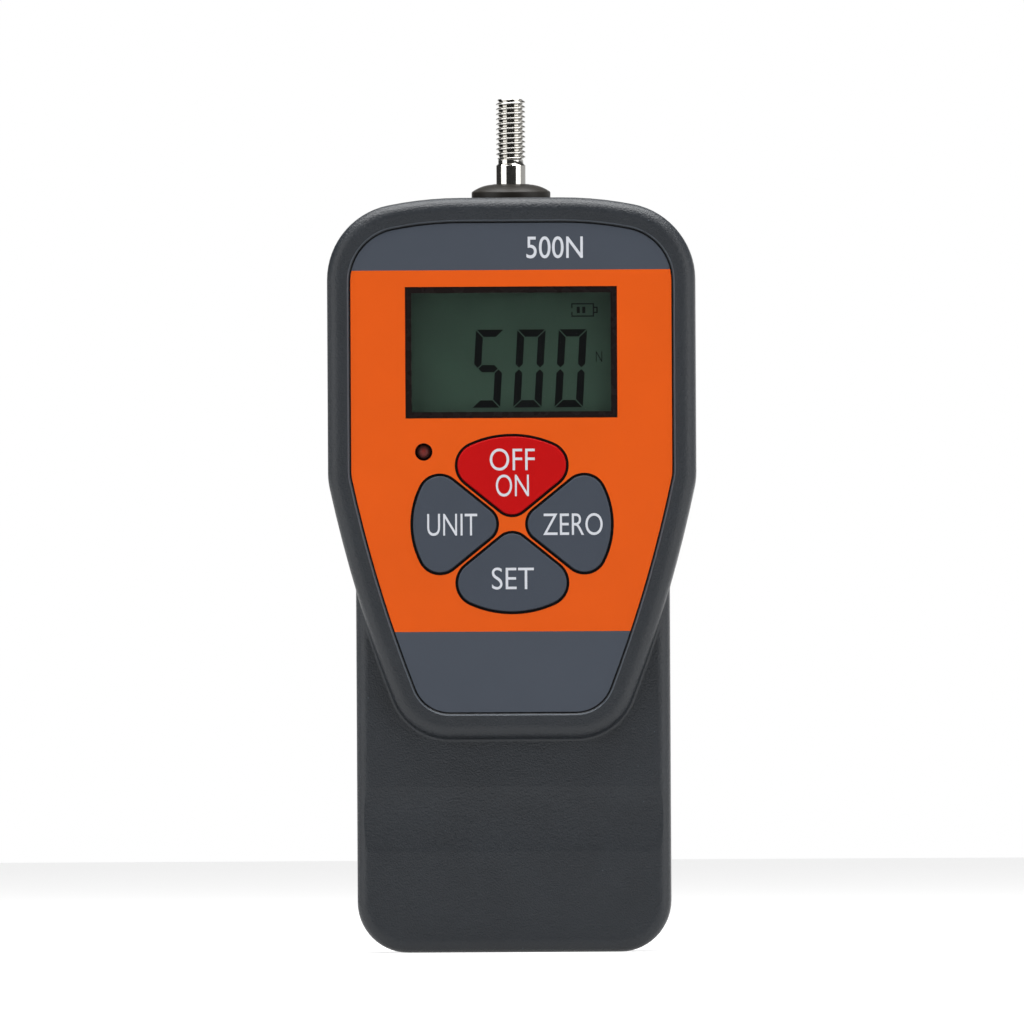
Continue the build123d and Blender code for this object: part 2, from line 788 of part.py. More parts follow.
def chassis():
    """Plate on the back half's pads, with a shelf under the load cell on two gussets."""
    low, high = chassis_limits()
    plate_y = plate_back_y - chassis_thickness / 2
    body = box(chassis_width, chassis_thickness, high - low, y=plate_y, z=low)
    front = -cell_thickness / 2
    shelf_depth = plate_front_y - front
    body += box(cell_width, shelf_depth, shelf_thickness, y=front + shelf_depth / 2, z=shelf_bottom)
    heel, toe = (plate_front_y, low), (front + gusset_set_back, shelf_bottom)
    gusset = make_face(Polyline(heel, (plate_front_y, shelf_bottom), toe, close=True))
    for side in (-1, 1):
        x = side * gusset_spacing / 2
        body += extrude(Plane.YZ.offset(x - gusset_thickness / 2) * gusset, gusset_thickness)
    body -= upright(bolt_diameter + screw_gap, shelf_bottom - past, cell_bottom + past)
    for place in chassis_screw_places():
        body -= post(screw_diameter + screw_gap, plate_front_y - past, plate_back_y + past, place)
    for place in stand_places():
        body -= post(stand_spigot_diameter + screw_gap, plate_front_y - past, plate_back_y + past, place)
    return body


def stand_bosses():
    """Threaded bosses pressed into the chassis and flush with the back face."""
    bosses = []
    for place in stand_places():
        boss = post(stand_boss_diameter, plate_back_y, back_y, place)
        boss += post(stand_spigot_diameter, plate_front_y, plate_back_y, place)
        bosses.append(boss - post(stand_hole_diameter, plate_front_y - past, back_y + past, place))
    return bosses


def battery_columns_rows():
    """Axes (x, y) of the battery cells, row by row from the back."""
    pitch = battery_diameter + battery_spacing
    first_x = -(battery_columns - 1) / 2 * pitch
    first_y = back_inner_y - tray_wall - battery_spacing - battery_diameter / 2
    return [(first_x + column * pitch, first_y - row * pitch)
            for row in range(battery_rows) for column in range(battery_columns)]


def battery_levels():
    """Lower and upper end of the battery cells."""
    low = socket_board_top + battery_gap + tray_wall + tab_thickness
    return low, low + battery_length


def battery_cells():
    low, high = battery_levels()
    shoulder = high - battery_cap_height
    cells = []
    for place in battery_columns_rows():
        can = upright(battery_diameter, low, shoulder, *place)
        cells.append(can + upright(battery_cap_diameter, shoulder, high, *place))
    return cells


def battery_tabs():
    """Welded strips that join the cells of each column, above and below."""
    low, high = battery_levels()
    places = battery_columns_rows()
    length = (battery_rows - 1) * (battery_diameter + battery_spacing) + tab_width
    middle = (places[0][1] + places[-1][1]) / 2
    strips = []
    for x, _ in places[:battery_columns]:
        for z in (low - tab_thickness, high):
            strips.append(box(tab_width, length, tab_thickness, x, middle, z))
    return strips


def battery_tray():
    """Open tray on the back wall, around the cells."""
    low, high = battery_levels()
    width = battery_columns * (battery_diameter + battery_spacing) + battery_spacing
    height = high - low + 2 * tab_thickness + frame_gap
    bottom = low - tab_thickness - tray_wall
    middle_y = back_inner_y - tray_depth / 2
    tray = box(width + 2 * tray_wall, tray_depth, height + 2 * tray_wall, y=middle_y, z=bottom)
    return tray - box(width, tray_depth, height, y=middle_y - tray_wall, z=bottom + tray_wall)


def socket_board():
    low = wall + socket_board_lift
    view = Pos(0, low + socket_board_height / 2) * Rectangle(socket_board_width, socket_board_height)
    back = socket_board_front_y + board_thickness
    board = slab(view, socket_board_front_y, back)
    for place in socket_post_places():
        board -= post(small_screw_diameter + screw_gap, socket_board_front_y - past, back + past, place)
    return board


def charge_jack():
    """Charging jack on the socket board, open at the lower end."""
    y = socket_board_front_y - jack_size / 2
    opening = jack_size - 2 * socket_gap
    body = box(jack_size, jack_size, jack_length, jack_x, y, wall)
    body += upright(opening - 2 * socket_gap, socket_gap, wall, jack_x, y)
    return body - upright(jack_hole, -past, jack_depth, jack_x, y)


def charge_pin():
    y = socket_board_front_y - jack_size / 2
    return upright(jack_pin_diameter, jack_pin_recess, jack_depth, jack_x, y)


def data_port():
    """Flat metal port with a contact tongue, open at the lower end."""
    y = socket_board_front_y - port_height / 2
    shell = box(port_width, port_height, port_length, port_x, y, socket_gap)
    width, depth = port_width - 2 * port_wall, port_height - 2 * port_wall
    shell -= box(width, depth, port_length - port_wall, port_x, y, socket_gap)
    tongue_length = port_length - 2 * port_wall
    return shell + box(*port_tongue, tongue_length, port_x, y, socket_gap + port_wall)


NODES = {
    "front_case": front_case, "back_case": back_case, "case_screws": case_screws,
    "face_panel": face_panel, "display_frame": display_frame, "display_window": display_window,
    "lcd_cell": lcd_cell, "lcd_holder": lcd_holder, "lcd_strips": lcd_strips,
    "status_lamp": status_lamp, "key_switches": key_switches, "main_board": main_board,
    "board_chips": board_chips, "board_screws": board_screws, "sensor_shaft": sensor_shaft,
    "shaft_nut": shaft_nut, "shaft_collar": shaft_collar, "load_cell": load_cell,
    "strain_gauges": strain_gauges, "load_cell_bolt": load_cell_bolt, "chassis": chassis,
    "chassis_screws": chassis_screws, "stand_bosses": stand_bosses, "battery_cells": battery_cells,
    "battery_tabs": battery_tabs, "battery_tray": battery_tray, "socket_board": socket_board,
    "socket_screws": socket_screws, "charge_jack": charge_jack, "charge_pin": charge_pin,
    "data_port": data_port,
}


def main():
    os.makedirs("parts", exist_ok=True)
    solids = {name: make() for name, make in NODES.items()}
    for name in switch_places():
        solids[f"key_{name}"] = key(name)
        solids[f"plunger_{name}"] = plunger(name)
    for name, shape in solids.items():
        whole = Compound(children=shape) if isinstance(shape, list) else shape
        export_step(whole, f"parts/{name}.step")


main()
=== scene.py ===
"""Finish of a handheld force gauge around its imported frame.

The frame brings every solid in place. Here they get their finishes, and the thread, the printing, the
display's segments and the screw recesses are modelled. Lengths are in millimetres until they reach a mesh.
"""

from math import cos, hypot, pi, radians, sqrt, tan

import bmesh
import bpy
from mathutils import Matrix, Vector


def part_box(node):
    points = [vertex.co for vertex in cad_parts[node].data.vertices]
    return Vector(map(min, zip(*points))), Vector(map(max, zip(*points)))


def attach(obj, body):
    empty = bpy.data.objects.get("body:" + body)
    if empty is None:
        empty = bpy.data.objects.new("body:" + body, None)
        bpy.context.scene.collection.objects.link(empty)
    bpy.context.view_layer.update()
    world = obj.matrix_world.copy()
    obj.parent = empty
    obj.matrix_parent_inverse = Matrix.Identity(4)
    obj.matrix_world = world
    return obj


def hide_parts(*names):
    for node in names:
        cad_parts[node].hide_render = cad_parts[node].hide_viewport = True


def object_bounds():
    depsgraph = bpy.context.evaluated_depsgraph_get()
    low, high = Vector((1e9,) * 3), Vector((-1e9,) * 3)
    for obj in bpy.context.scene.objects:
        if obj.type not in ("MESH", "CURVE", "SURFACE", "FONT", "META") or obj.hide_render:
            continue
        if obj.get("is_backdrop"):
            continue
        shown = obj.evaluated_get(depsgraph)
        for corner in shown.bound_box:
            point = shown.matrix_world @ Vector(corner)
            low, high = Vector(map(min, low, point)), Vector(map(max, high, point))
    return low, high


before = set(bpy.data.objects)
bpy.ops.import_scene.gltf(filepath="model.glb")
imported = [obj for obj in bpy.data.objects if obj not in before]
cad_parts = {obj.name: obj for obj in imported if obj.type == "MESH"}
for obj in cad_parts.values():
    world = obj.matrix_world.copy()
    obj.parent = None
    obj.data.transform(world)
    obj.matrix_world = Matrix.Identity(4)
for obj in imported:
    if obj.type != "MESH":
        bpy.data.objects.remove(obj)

bl_info = {
    "name": "Force gauge finish",
    "version": (1, 0, 0),
    "blender": (4, 5, 0),
    "location": "View3D > Sidebar > Force gauge",
    "description": "Finishes, thread, printing, display and studio of a handheld force gauge",
    "category": "Object",
}

MM = 0.001                  # a millimetre in the frame's metres
LENS_WIDTH = 36.0           # camera sensor, millimetres
SMOOTH_ANGLE = radians(35)  # edges sharper than this stay sharp
WAVE_PERIOD = 2 * pi / 20   # a wave texture's period at a scale of 1
DUST_SPACING = 4.4          # millimetres between grains of dust in space; few of them lie on a surface
DUST_RADIUS = 0.15
CHAMFER_HIGHLIGHT_DEPTH = 0.24        # millimetres behind the front, where the panel recess's chamfer gets a painted highlight
WELD = 1e-7                 # metres; points of a made mesh nearer than this are one point
CAD_WELD = 1e-6             # the same for a mesh that comes from a CAD node


def linear(code):
    """Linear colour of an sRGB hex value."""
    parts = [int(code[place:place + 2], 16) / 255 for place in (0, 2, 4)]
    return [part / 12.92 if part <= 0.04045 else ((part + 0.055) / 1.055) ** 2.4 for part in parts]


def colour_property(name, description, code):
    return bpy.props.FloatVectorProperty(
        name=name, description=description, default=linear(code), size=3, min=0.0, max=1.0, subtype="COLOR")


def length_property(name, description, default):
    """A length in millimetres."""
    return bpy.props.FloatProperty(name=name, description=description, default=default, min=0.0, precision=3)


class GaugeColours(bpy.types.PropertyGroup):
    """Colours that a user would change."""

    case: colour_property("Case", "Moulded case halves", "25292E")
    band: colour_property("Band", "Grey bands at the panel's two ends, and the grey keys", "464C56")
    middle: colour_property("Middle", "The panel between the bands", "E25808")
    power: colour_property("Power key", "The power key's plastic", "BE0B0D")
    legend: colour_property("Legend", "Ink of the legends and the capacity", "D5D8DF")
    # the outline colour is also painted on the panel's cut edges as painted shade in the gaps
    outline: colour_property("Outline", "Ink of the lines around the keys", "0B0908")
    glass: colour_property("Display", "Display background with no segment on", "35463D")
    segment: colour_property("Segment", "A segment that is on", "08090C")


class PrintSizes(bpy.types.PropertyGroup):
    """Printing on the panel and the keys, in millimetres."""

    ink: length_property("Ink", "Thickness of a printed layer", 0.02)
    outline: length_property("Outline", "Width of the line around each key", 0.4)
    legend_height: length_property("Legend height", "Height of a capital", 4.4)
    capacity_width: length_property("Capacity width", "Width of the capacity's number and unit", 11.3)
    capacity_right: length_property("Capacity place", "Middle of the capacity, right of the axis", 8.8)
    capacity_up: length_property("Capacity height", "Height of the capacity's middle", 141.0)
    band_top: length_property("Upper band", "Height where the upper band begins", 136.5)
    band_bottom: length_property("Lower band", "Height where the lower band ends", 64.2)


class DisplaySizes(bpy.types.PropertyGroup):
    """Segments of the display, in millimetres."""

    digit_height: length_property("Digit height", "Outside height of a digit", 15.6)
    digit_width: length_property("Digit width", "Outside width of a digit", 5.65)
    digit_pitch: length_property("Digit pitch", "Distance from one digit to the next", 8.28)
    segment: length_property("Segment", "Width of a segment", 1.45)
    gap: length_property("Gap", "Gap between two segments", 0.24)
    last_digit: length_property("Last digit", "Middle of the last digit, right of the axis", 11.9)
    drop: length_property("Drop", "Middle of the digits under the middle of the glass", 3.25)
    symbol_line: length_property("Symbol line", "Width of the battery symbol's lines", 0.24)
    layer: length_property("Layer", "Thickness of a segment", 0.03)
    slant: bpy.props.FloatProperty(
        name="Slant", description="Lean of the digits", default=radians(3.4), subtype="ANGLE",
        unit="ROTATION")


class ThreadSizes(bpy.types.PropertyGroup):
    """Threads of the stud and the stand inserts, in millimetres."""

    stud_pitch: length_property("Stud pitch", "Pitch of the stud's thread", 1.0)
    stud_depth: length_property("Stud depth", "Crest to root of the stud's thread", 0.58)
    insert_pitch: length_property("Insert pitch", "Pitch of the stand inserts' thread", 0.7)
    insert_depth: length_property("Insert depth", "Crest to root of the inserts' thread", 0.35)
    insert_edge: length_property("Insert edge", "Chamfer around the mouth's outside", 0.25)
    insert_lead: length_property("Insert lead", "How much wider than its thread the mouth is", 0.1)


class ScrewSizes(bpy.types.PropertyGroup):
    """Heads of the case screws and contacts of the data port, in millimetres."""

    head: length_property("Head", "Height of a screw head", 2.2)
    shank: length_property("Shank", "Diameter of a screw's shank", 3.0)
    cross_reach: length_property("Cross reach", "Reach of each arm of the cross recess", 1.45)
    cross_width: length_property("Cross width", "Width of each arm of the cross recess", 0.7)
    cross_depth: length_property("Cross depth", "Depth of the cross recess", 1.3)
    tip: length_property("Tip", "Chamfer at the end of a screw's shank", 0.5)
    dome: length_property("Dome", "Radius of the edge of a screw's head", 0.8)
    contact: length_property("Contact", "Width of a contact in the data port", 0.4)
    contact_pitch: length_property("Contact pitch", "Distance from one contact to the next", 0.75)
    contact_thickness: length_property("Contact thickness", "Thickness of a contact", 0.06)
    contact_start: length_property("Contact start", "Mouth of the port to the end of a contact", 0.7)
    tongue_start: length_property("Tongue start", "Mouth of the port to the end of its tongue", 0.45)
    tongue_skin: length_property("Tongue skin", "How much the moulded skin adds to the tongue", 0.04)


class StageSettings(bpy.types.PropertyGroup):
    """Camera and lamps."""

    distance: bpy.props.FloatProperty(
        name="Distance", description="Camera to the front of the case", default=9.5, unit="LENGTH")
    picture_width: bpy.props.FloatProperty(
        name="Picture width", description="Width of the picture at the front of the case",
        default=0.2048, unit="LENGTH")
    aim_height: bpy.props.FloatProperty(
        name="Aim", description="Height that the camera looks at", default=0.0881, unit="LENGTH")
    turn: bpy.props.FloatProperty(
        name="Turn", description="How far the camera stands round to the right",
        default=radians(0.45), subtype="ANGLE", unit="ROTATION")
    roll: bpy.props.FloatProperty(
        name="Roll", description="Turn of the camera about its own axis",
        default=radians(-0.307), subtype="ANGLE", unit="ROTATION")
    side_power: bpy.props.FloatProperty(
        name="Side softboxes", description="Power of each side softbox", default=4.9, unit="POWER")
    top_power: bpy.props.FloatProperty(
        name="Top softbox", description="Power of the softbox above", default=32.0, unit="POWER")


def add_node(tree, kind, inputs=None, **settings):
    """Add a node, set its properties, then fill or link its inputs by name or number."""
    node = tree.nodes.new(kind)
    for name, value in settings.items():
        setattr(node, name, value)
    for key, value in (inputs or {}).items():
        if isinstance(value, bpy.types.NodeSocket):
            tree.links.new(value, node.inputs[key])
        else:
            node.inputs[key].default_value = value
    return node


def opaque(colour):
    return (*colour, 1.0)


def shade(colour, factor):
    """A lighter or darker version of a linear colour."""
    return [min(1.0, part * factor) for part in colour]


def new_material(name):
    """A material with one Principled shader, and its tree."""
    material = bpy.data.materials.new(name)
    material.use_nodes = True
    tree = material.node_tree
    tree.nodes.clear()
    shader = add_node(tree, "ShaderNodeBsdfPrincipled")
    add_node(tree, "ShaderNodeOutputMaterial", {"Surface": shader.outputs["BSDF"]})
    return material, tree, shader


def surface(tree, shader, tint, sheen, relief=None, **values):
    """Lead a tint, a sheen and a relief into a shader, and set its plain values by name."""
    tree.links.new(tint.outputs["Result"], shader.inputs["Base Color"])
    tree.links.new(sheen.outputs["Result"], shader.inputs["Roughness"])
    if relief:
        tree.links.new(relief.outputs["Normal"], shader.inputs["Normal"])
    for name, value in values.items():
        shader.inputs[name.replace("_", " ")].default_value = value


def pattern_place(tree):
    """Object coordinates in millimetres."""
    place = add_node(tree, "ShaderNodeTexCoord").outputs["Object"]
    return add_node(tree, "ShaderNodeMapping", {"Vector": place, "Scale": (1 / MM,) * 3}).outputs["Vector"]


def moulded_plastic(name, colour, roughness, grain, depth, mottle=0.06, level=0.3):
    """Moulded thermoplastic with a spark-eroded texture: an even colour, broken up by fine matt grain."""
    material, tree, shader = new_material(name)
    place = pattern_place(tree)
    fine = add_node(tree, "ShaderNodeTexNoise", {"Vector": place, "Scale": 1 / grain, "Detail": 3.0})
    broad = add_node(tree, "ShaderNodeTexNoise", {"Vector": place, "Scale": 0.09, "Detail": 4.0})
    height = fine.outputs["Fac"]
    cloud = add_node(tree, "ShaderNodeMath", {0: height, 1: broad.outputs["Fac"]}, operation="ADD")
    blend = add_node(tree, "ShaderNodeMapRange", {
        "Value": cloud.outputs[0], "From Min": 0.7, "From Max": 1.3})
    tint = add_node(tree, "ShaderNodeMix", {
        "Factor": blend.outputs["Result"], "A": opaque(shade(colour, 1 - mottle)),
        "B": opaque(shade(colour, 1 + mottle))}, data_type="RGBA")
    sheen = add_node(tree, "ShaderNodeMapRange", {
        "Value": height, "From Min": 0.3, "From Max": 0.7,
        "To Min": roughness - 0.05, "To Max": roughness + 0.07})
    relief = add_node(tree, "ShaderNodeBump", {"Height": height, "Distance": depth * MM, "Strength": 1.0})
    surface(tree, shader, tint, sheen, relief, IOR=1.5, Specular_IOR_Level=level)
    return material


def case_plastic(name, colour, front):
    """ABS moulded in a spark-eroded tool: dark, with a lively grain, and a painted highlight on the recess
    chamfer.

    The grain is drawn three times as coarse as the real one, so that it shows. The chamfer that leads into
    the panel's recess, just behind the front, is painted lighter as a painted highlight. A few grains of dust
    lie on the surface.
    """
    material = moulded_plastic(name, colour, roughness=0.38, grain=0.36, depth=0.13, mottle=0.14, level=0.4)
    tree = material.node_tree
    place = pattern_place(tree)
    shader = next(node for node in tree.nodes if node.type == "BSDF_PRINCIPLED")
    grained = shader.inputs["Base Color"].links[0].from_socket
    facing = add_node(tree, "ShaderNodeSeparateXYZ", {
        "Vector": add_node(tree, "ShaderNodeTexCoord").outputs["Normal"]}).outputs["Y"]
    depth = add_node(tree, "ShaderNodeSeparateXYZ", {"Vector": place}).outputs["Y"]
    # Painted highlight: sloping faces just behind the front (the recess chamfer) are painted lighter by the
    # mix named polished, standing in for the light they catch; nothing is polished.
    sloping = add_node(tree, "ShaderNodeMath", {0: facing, 1: -0.85}, operation="GREATER_THAN")
    shallow = add_node(tree, "ShaderNodeMath", {0: depth, 1: front + CHAMFER_HIGHLIGHT_DEPTH}, operation="LESS_THAN")
    chamfer = add_node(tree, "ShaderNodeMath", {
        0: sloping.outputs[0], 1: shallow.outputs[0]}, operation="MULTIPLY")
    polished = add_node(tree, "ShaderNodeMix", {
        "Factor": chamfer.outputs[0], "A": grained, "B": opaque(shade(colour, 3.2))}, data_type="RGBA")
    dust = add_node(tree, "ShaderNodeTexVoronoi", {"Vector": place, "Scale": 1 / DUST_SPACING})
    near = add_node(tree, "ShaderNodeMath", {
        0: dust.outputs["Distance"], 1: DUST_RADIUS / DUST_SPACING}, operation="LESS_THAN")
    add_node(tree, "ShaderNodeMix", {
        "Factor": near.outputs[0], "A": polished.outputs["Result"],
        "B": opaque(shade(colour, 2.6))}, data_type="RGBA")
    tree.links.new(tree.nodes[-1].outputs["Result"], shader.inputs["Base Color"])
    return material


def satin_key(name, colour):
    """Moulded key cap: nearly even colour with a soft satin surface."""
    return moulded_plastic(name, colour, roughness=0.42, grain=0.35, depth=0.012, mottle=0.03, level=0.12)


def printed_overlay(name, colours, print_sizes):
    """Back-printed polycarbonate overlay: grey bands above and below an orange middle, cut edges in painted
    shade.
    """
    material, tree, shader = new_material(name)
    place = pattern_place(tree)
    height = add_node(tree, "ShaderNodeSeparateXYZ", {"Vector": place}).outputs["Z"]
    above = add_node(tree, "ShaderNodeMath", {0: height, 1: print_sizes.band_top}, operation="GREATER_THAN")
    below = add_node(tree, "ShaderNodeMath", {0: height, 1: print_sizes.band_bottom}, operation="LESS_THAN")
    in_band = add_node(tree, "ShaderNodeMath", {0: above.outputs[0], 1: below.outputs[0]}, operation="ADD")
    print_tint = add_node(tree, "ShaderNodeMix", {
        "Factor": in_band.outputs[0], "A": opaque(colours.middle), "B": opaque(colours.band)},
        data_type="RGBA")
    cloud = add_node(tree, "ShaderNodeTexNoise", {"Vector": place, "Scale": 0.06, "Detail": 3.0})
    depth = add_node(tree, "ShaderNodeMapRange", {
        "Value": cloud.outputs["Fac"], "To Min": 0.93, "To Max": 1.07})
    tint = add_node(tree, "ShaderNodeVectorMath", {
        0: print_tint.outputs["Result"], "Scale": depth.outputs["Result"]}, operation="SCALE")
    # Painted shade: faces that don't face the front, the cut edges in the gaps, take the outline ink's
    # near-black as shade in the gaps.
    facing = add_node(tree, "ShaderNodeSeparateXYZ", {
        "Vector": add_node(tree, "ShaderNodeTexCoord").outputs["Normal"]}).outputs["Y"]
    face = add_node(tree, "ShaderNodeMath", {0: facing, 1: -0.7}, operation="LESS_THAN")
    print_and_painted_edge_shade = add_node(tree, "ShaderNodeMix", {
        "Factor": face.outputs[0], "A": opaque(colours.outline), "B": tint.outputs[0]}, data_type="RGBA")
    grain = add_node(tree, "ShaderNodeTexNoise", {"Vector": place, "Scale": 4.0, "Detail": 2.0})
    sheen = add_node(tree, "ShaderNodeMapRange", {
        "Value": grain.outputs["Fac"], "To Min": 0.34, "To Max": 0.46})
    relief = add_node(tree, "ShaderNodeBump", {"Height": grain.outputs["Fac"], "Distance": 0.004 * MM})
    surface(tree, shader, print_and_painted_edge_shade, sheen, relief, IOR=1.58, Specular_IOR_Level=0.2)
    return material


def screen_ink(name, colour, roughness=0.5):
    """Screen-printing ink: a dense flat colour with a faintly pebbled surface."""
    material, tree, shader = new_material(name)
    place = pattern_place(tree)
    pebbles = add_node(tree, "ShaderNodeTexNoise", {"Vector": place, "Scale": 3.0, "Detail": 2.0})
    tint = add_node(tree, "ShaderNodeMix", {
        "Factor": pebbles.outputs["Fac"], "A": opaque(shade(colour, 0.97)),
        "B": opaque(shade(colour, 1.03))}, data_type="RGBA")
    sheen = add_node(tree, "ShaderNodeMapRange", {
        "Value": pebbles.outputs["Fac"], "To Min": roughness - 0.06, "To Max": roughness + 0.06})
    surface(tree, shader, tint, sheen, Specular_IOR_Level=0.06)
    return material


def gloss_plastic(name, colour, roughness, level):
    """Polished moulding: deep colour, clear reflections and a faint unevenness."""
    material, tree, shader = new_material(name)
    place = pattern_place(tree)
    waves = add_node(tree, "ShaderNodeTexNoise", {"Vector": place, "Scale": 0.5, "Detail": 3.0})
    sheen = add_node(tree, "ShaderNodeMapRange", {
        "Value": waves.outputs["Fac"], "To Min": roughness - 0.04, "To Max": roughness + 0.08})
    tint = add_node(tree, "ShaderNodeMix", {
        "Factor": waves.outputs["Fac"], "A": opaque(shade(colour, 0.94)),
        "B": opaque(shade(colour, 1.06))}, data_type="RGBA")
    relief = add_node(tree, "ShaderNodeBump", {"Height": waves.outputs["Fac"], "Distance": 0.01 * MM})
    surface(tree, shader, tint, sheen, relief, Specular_IOR_Level=level)
    return material


def clear_acrylic(name):
    """Clear cast acrylic window: lamps reach through it, and it mirrors the room faintly."""
    material, tree, shader = new_material(name)
    place = pattern_place(tree)
    haze = add_node(tree, "ShaderNodeTexNoise", {"Vector": place, "Scale": 0.2, "Detail": 2.0})
    sheen = add_node(tree, "ShaderNodeMapRange", {
        "Value": haze.outputs["Fac"], "To Min": 0.0, "To Max": 0.012})
    tree.links.new(sheen.outputs["Result"], shader.inputs["Roughness"])
    shader.inputs["Base Color"].default_value = (0.93, 0.96, 0.94, 1.0)
    shader.inputs["Transmission Weight"].default_value = 1.0
    shader.inputs["Specular IOR Level"].default_value = 0.1
    shader.inputs["IOR"].default_value = 1.49
    through = add_node(tree, "ShaderNodeBsdfTransparent", {"Color": (0.9, 0.93, 0.91, 1.0)})
    shadow = add_node(tree, "ShaderNodeLightPath").outputs["Is Shadow Ray"]
    mix = add_node(tree, "ShaderNodeMixShader", {
        0: shadow, 1: shader.outputs["BSDF"], 2: through.outputs["BSDF"]})
    output = next(node for node in tree.nodes if node.type == "OUTPUT_MATERIAL")
    tree.links.new(mix.outputs["Shader"], output.inputs["Surface"])
    return material


def lcd_polariser_painted_reflections(name, colour):
    """Reflective display glass: grey-green polariser over a matt reflector, with painted reflections in
    clouds.
    """
    material, tree, shader = new_material(name)
    place = pattern_place(tree)
    # Painted reflection: broad darker and lighter clouds stand in for the room mirrored in the window.
    cloud = add_node(tree, "ShaderNodeTexNoise", {"Vector": place, "Scale": 0.07, "Detail": 1.0})
    tint = add_node(tree, "ShaderNodeMix", {
        "Factor": cloud.outputs["Fac"], "A": opaque(shade(colour, 0.7)),
        "B": opaque(shade(colour, 1.3))}, data_type="RGBA")
    sheen = add_node(tree, "ShaderNodeMapRange", {
        "Value": cloud.outputs["Fac"], "To Min": 0.3, "To Max": 0.4})
    surface(tree, shader, tint, sheen, Specular_IOR_Level=0.15)
    return material


def lamp_epoxy(name, node):
    """Tinted epoxy lamp: the red cup shows in the middle of a dark glossy dome, with painted light on its rim.
    """
    low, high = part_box(node)
    centre = (low + high) / 2
    material, tree, shader = new_material(name)
    place = add_node(tree, "ShaderNodeTexCoord").outputs["Object"]
    across = add_node(tree, "ShaderNodeVectorMath", {
        0: place, 1: (centre.x, 0, centre.z)}, operation="SUBTRACT")
    flat = add_node(tree, "ShaderNodeVectorMath", {
        0: across.outputs[0], 1: (1, 0, 1)}, operation="MULTIPLY")
    radius = add_node(tree, "ShaderNodeVectorMath", {0: flat.outputs[0]}, operation="LENGTH").outputs["Value"]
    rim = add_node(tree, "ShaderNodeMapRange", {
        "Value": radius, "From Min": 0.4 * MM, "From Max": 1.3 * MM}, interpolation_type="SMOOTHSTEP")
    # Painted light: the rim's paler, lighter tint fills the shade at the dome's edge and in the lamp's hole.
    tint = add_node(tree, "ShaderNodeMix", {
        "Factor": rim.outputs["Result"], "A": opaque(linear("7A2A26")),
        "B": opaque(linear("6E403C"))}, data_type="RGBA")
    tree.links.new(tint.outputs["Result"], shader.inputs["Base Color"])
    shader.inputs["Roughness"].default_value = 0.3
    shader.inputs["Specular IOR Level"].default_value = 0.2
    return material


def turned_metal(name, colour, roughness, groove, depth, axis="Z"):
    """Metal turned on a lathe: rings around the axis, a groove apart, catch the light as a soft streak."""
    material, tree, shader = new_material(name)
    place = pattern_place(tree)
    rings = add_node(tree, "ShaderNodeTexWave", {
        "Vector": place, "Scale": WAVE_PERIOD / groove, "Distortion": 0.4, "Detail": 2.0},
        wave_type="BANDS", bands_direction=axis)
    smear = add_node(tree, "ShaderNodeTexNoise", {"Vector": place, "Scale": 0.8, "Detail": 4.0})
    sheen = add_node(tree, "ShaderNodeMapRange", {
        "Value": smear.outputs["Fac"], "To Min": roughness * 0.7, "To Max": roughness * 1.4})
    tint = add_node(tree, "ShaderNodeMix", {
        "Factor": smear.outputs["Fac"], "A": opaque(shade(colour, 0.9)), "B": opaque(colour)},
        data_type="RGBA")
    relief = add_node(tree, "ShaderNodeBump", {"Height": rings.outputs["Fac"], "Distance": depth * MM})
    surface(tree, shader, tint, sheen, relief, Metallic=1.0)
    return material


def milled_metal(name, colour, roughness, stroke):
    """Milled metal: fine parallel cutter marks along one way, a stroke apart."""
    material, tree, shader = new_material(name)
    place = pattern_place(tree)
    stretch = add_node(tree, "ShaderNodeMapping", {"Vector": place, "Scale": (0.08, 1.0, 1.0)})
    marks = add_node(tree, "ShaderNodeTexNoise", {
        "Vector": stretch.outputs["Vector"], "Scale": 1 / stroke, "Detail": 4.0})
    sheen = add_node(tree, "ShaderNodeMapRange", {
        "Value": marks.outputs["Fac"], "To Min": roughness - 0.08, "To Max": roughness + 0.12})
    tint = add_node(tree, "ShaderNodeMix", {
        "Factor": marks.outputs["Fac"], "A": opaque(shade(colour, 0.85)), "B": opaque(colour)},
        data_type="RGBA")
    relief = add_node(tree, "ShaderNodeBump", {"Height": marks.outputs["Fac"], "Distance": 0.01 * MM})
    surface(tree, shader, tint, sheen, relief, Metallic=1.0)
    return material


def circuit_laminate(name):
    """Glass-epoxy board under green solder mask: copper tracks show through as lighter lines."""
    material, tree, shader = new_material(name)
    place = pattern_place(tree)
    tracks = add_node(tree, "ShaderNodeTexVoronoi", {"Vector": place, "Scale": 0.35},
                      feature="DISTANCE_TO_EDGE", distance="CHEBYCHEV")
    on_track = add_node(tree, "ShaderNodeMath", {
        0: tracks.outputs["Distance"], 1: 0.06}, operation="LESS_THAN")
    tint = add_node(tree, "ShaderNodeMix", {
        "Factor": on_track.outputs[0], "A": opaque(linear("14502F")),
        "B": opaque(linear("2E7F4A"))}, data_type="RGBA")
    weave = add_node(tree, "ShaderNodeTexNoise", {"Vector": place, "Scale": 2.0})
    sheen = add_node(tree, "ShaderNodeMapRange", {
        "Value": weave.outputs["Fac"], "To Min": 0.2, "To Max": 0.34})
    relief = add_node(tree, "ShaderNodeBump", {"Height": on_track.outputs[0], "Distance": 0.03 * MM})
    surface(tree, shader, tint, sheen, relief)
    return material


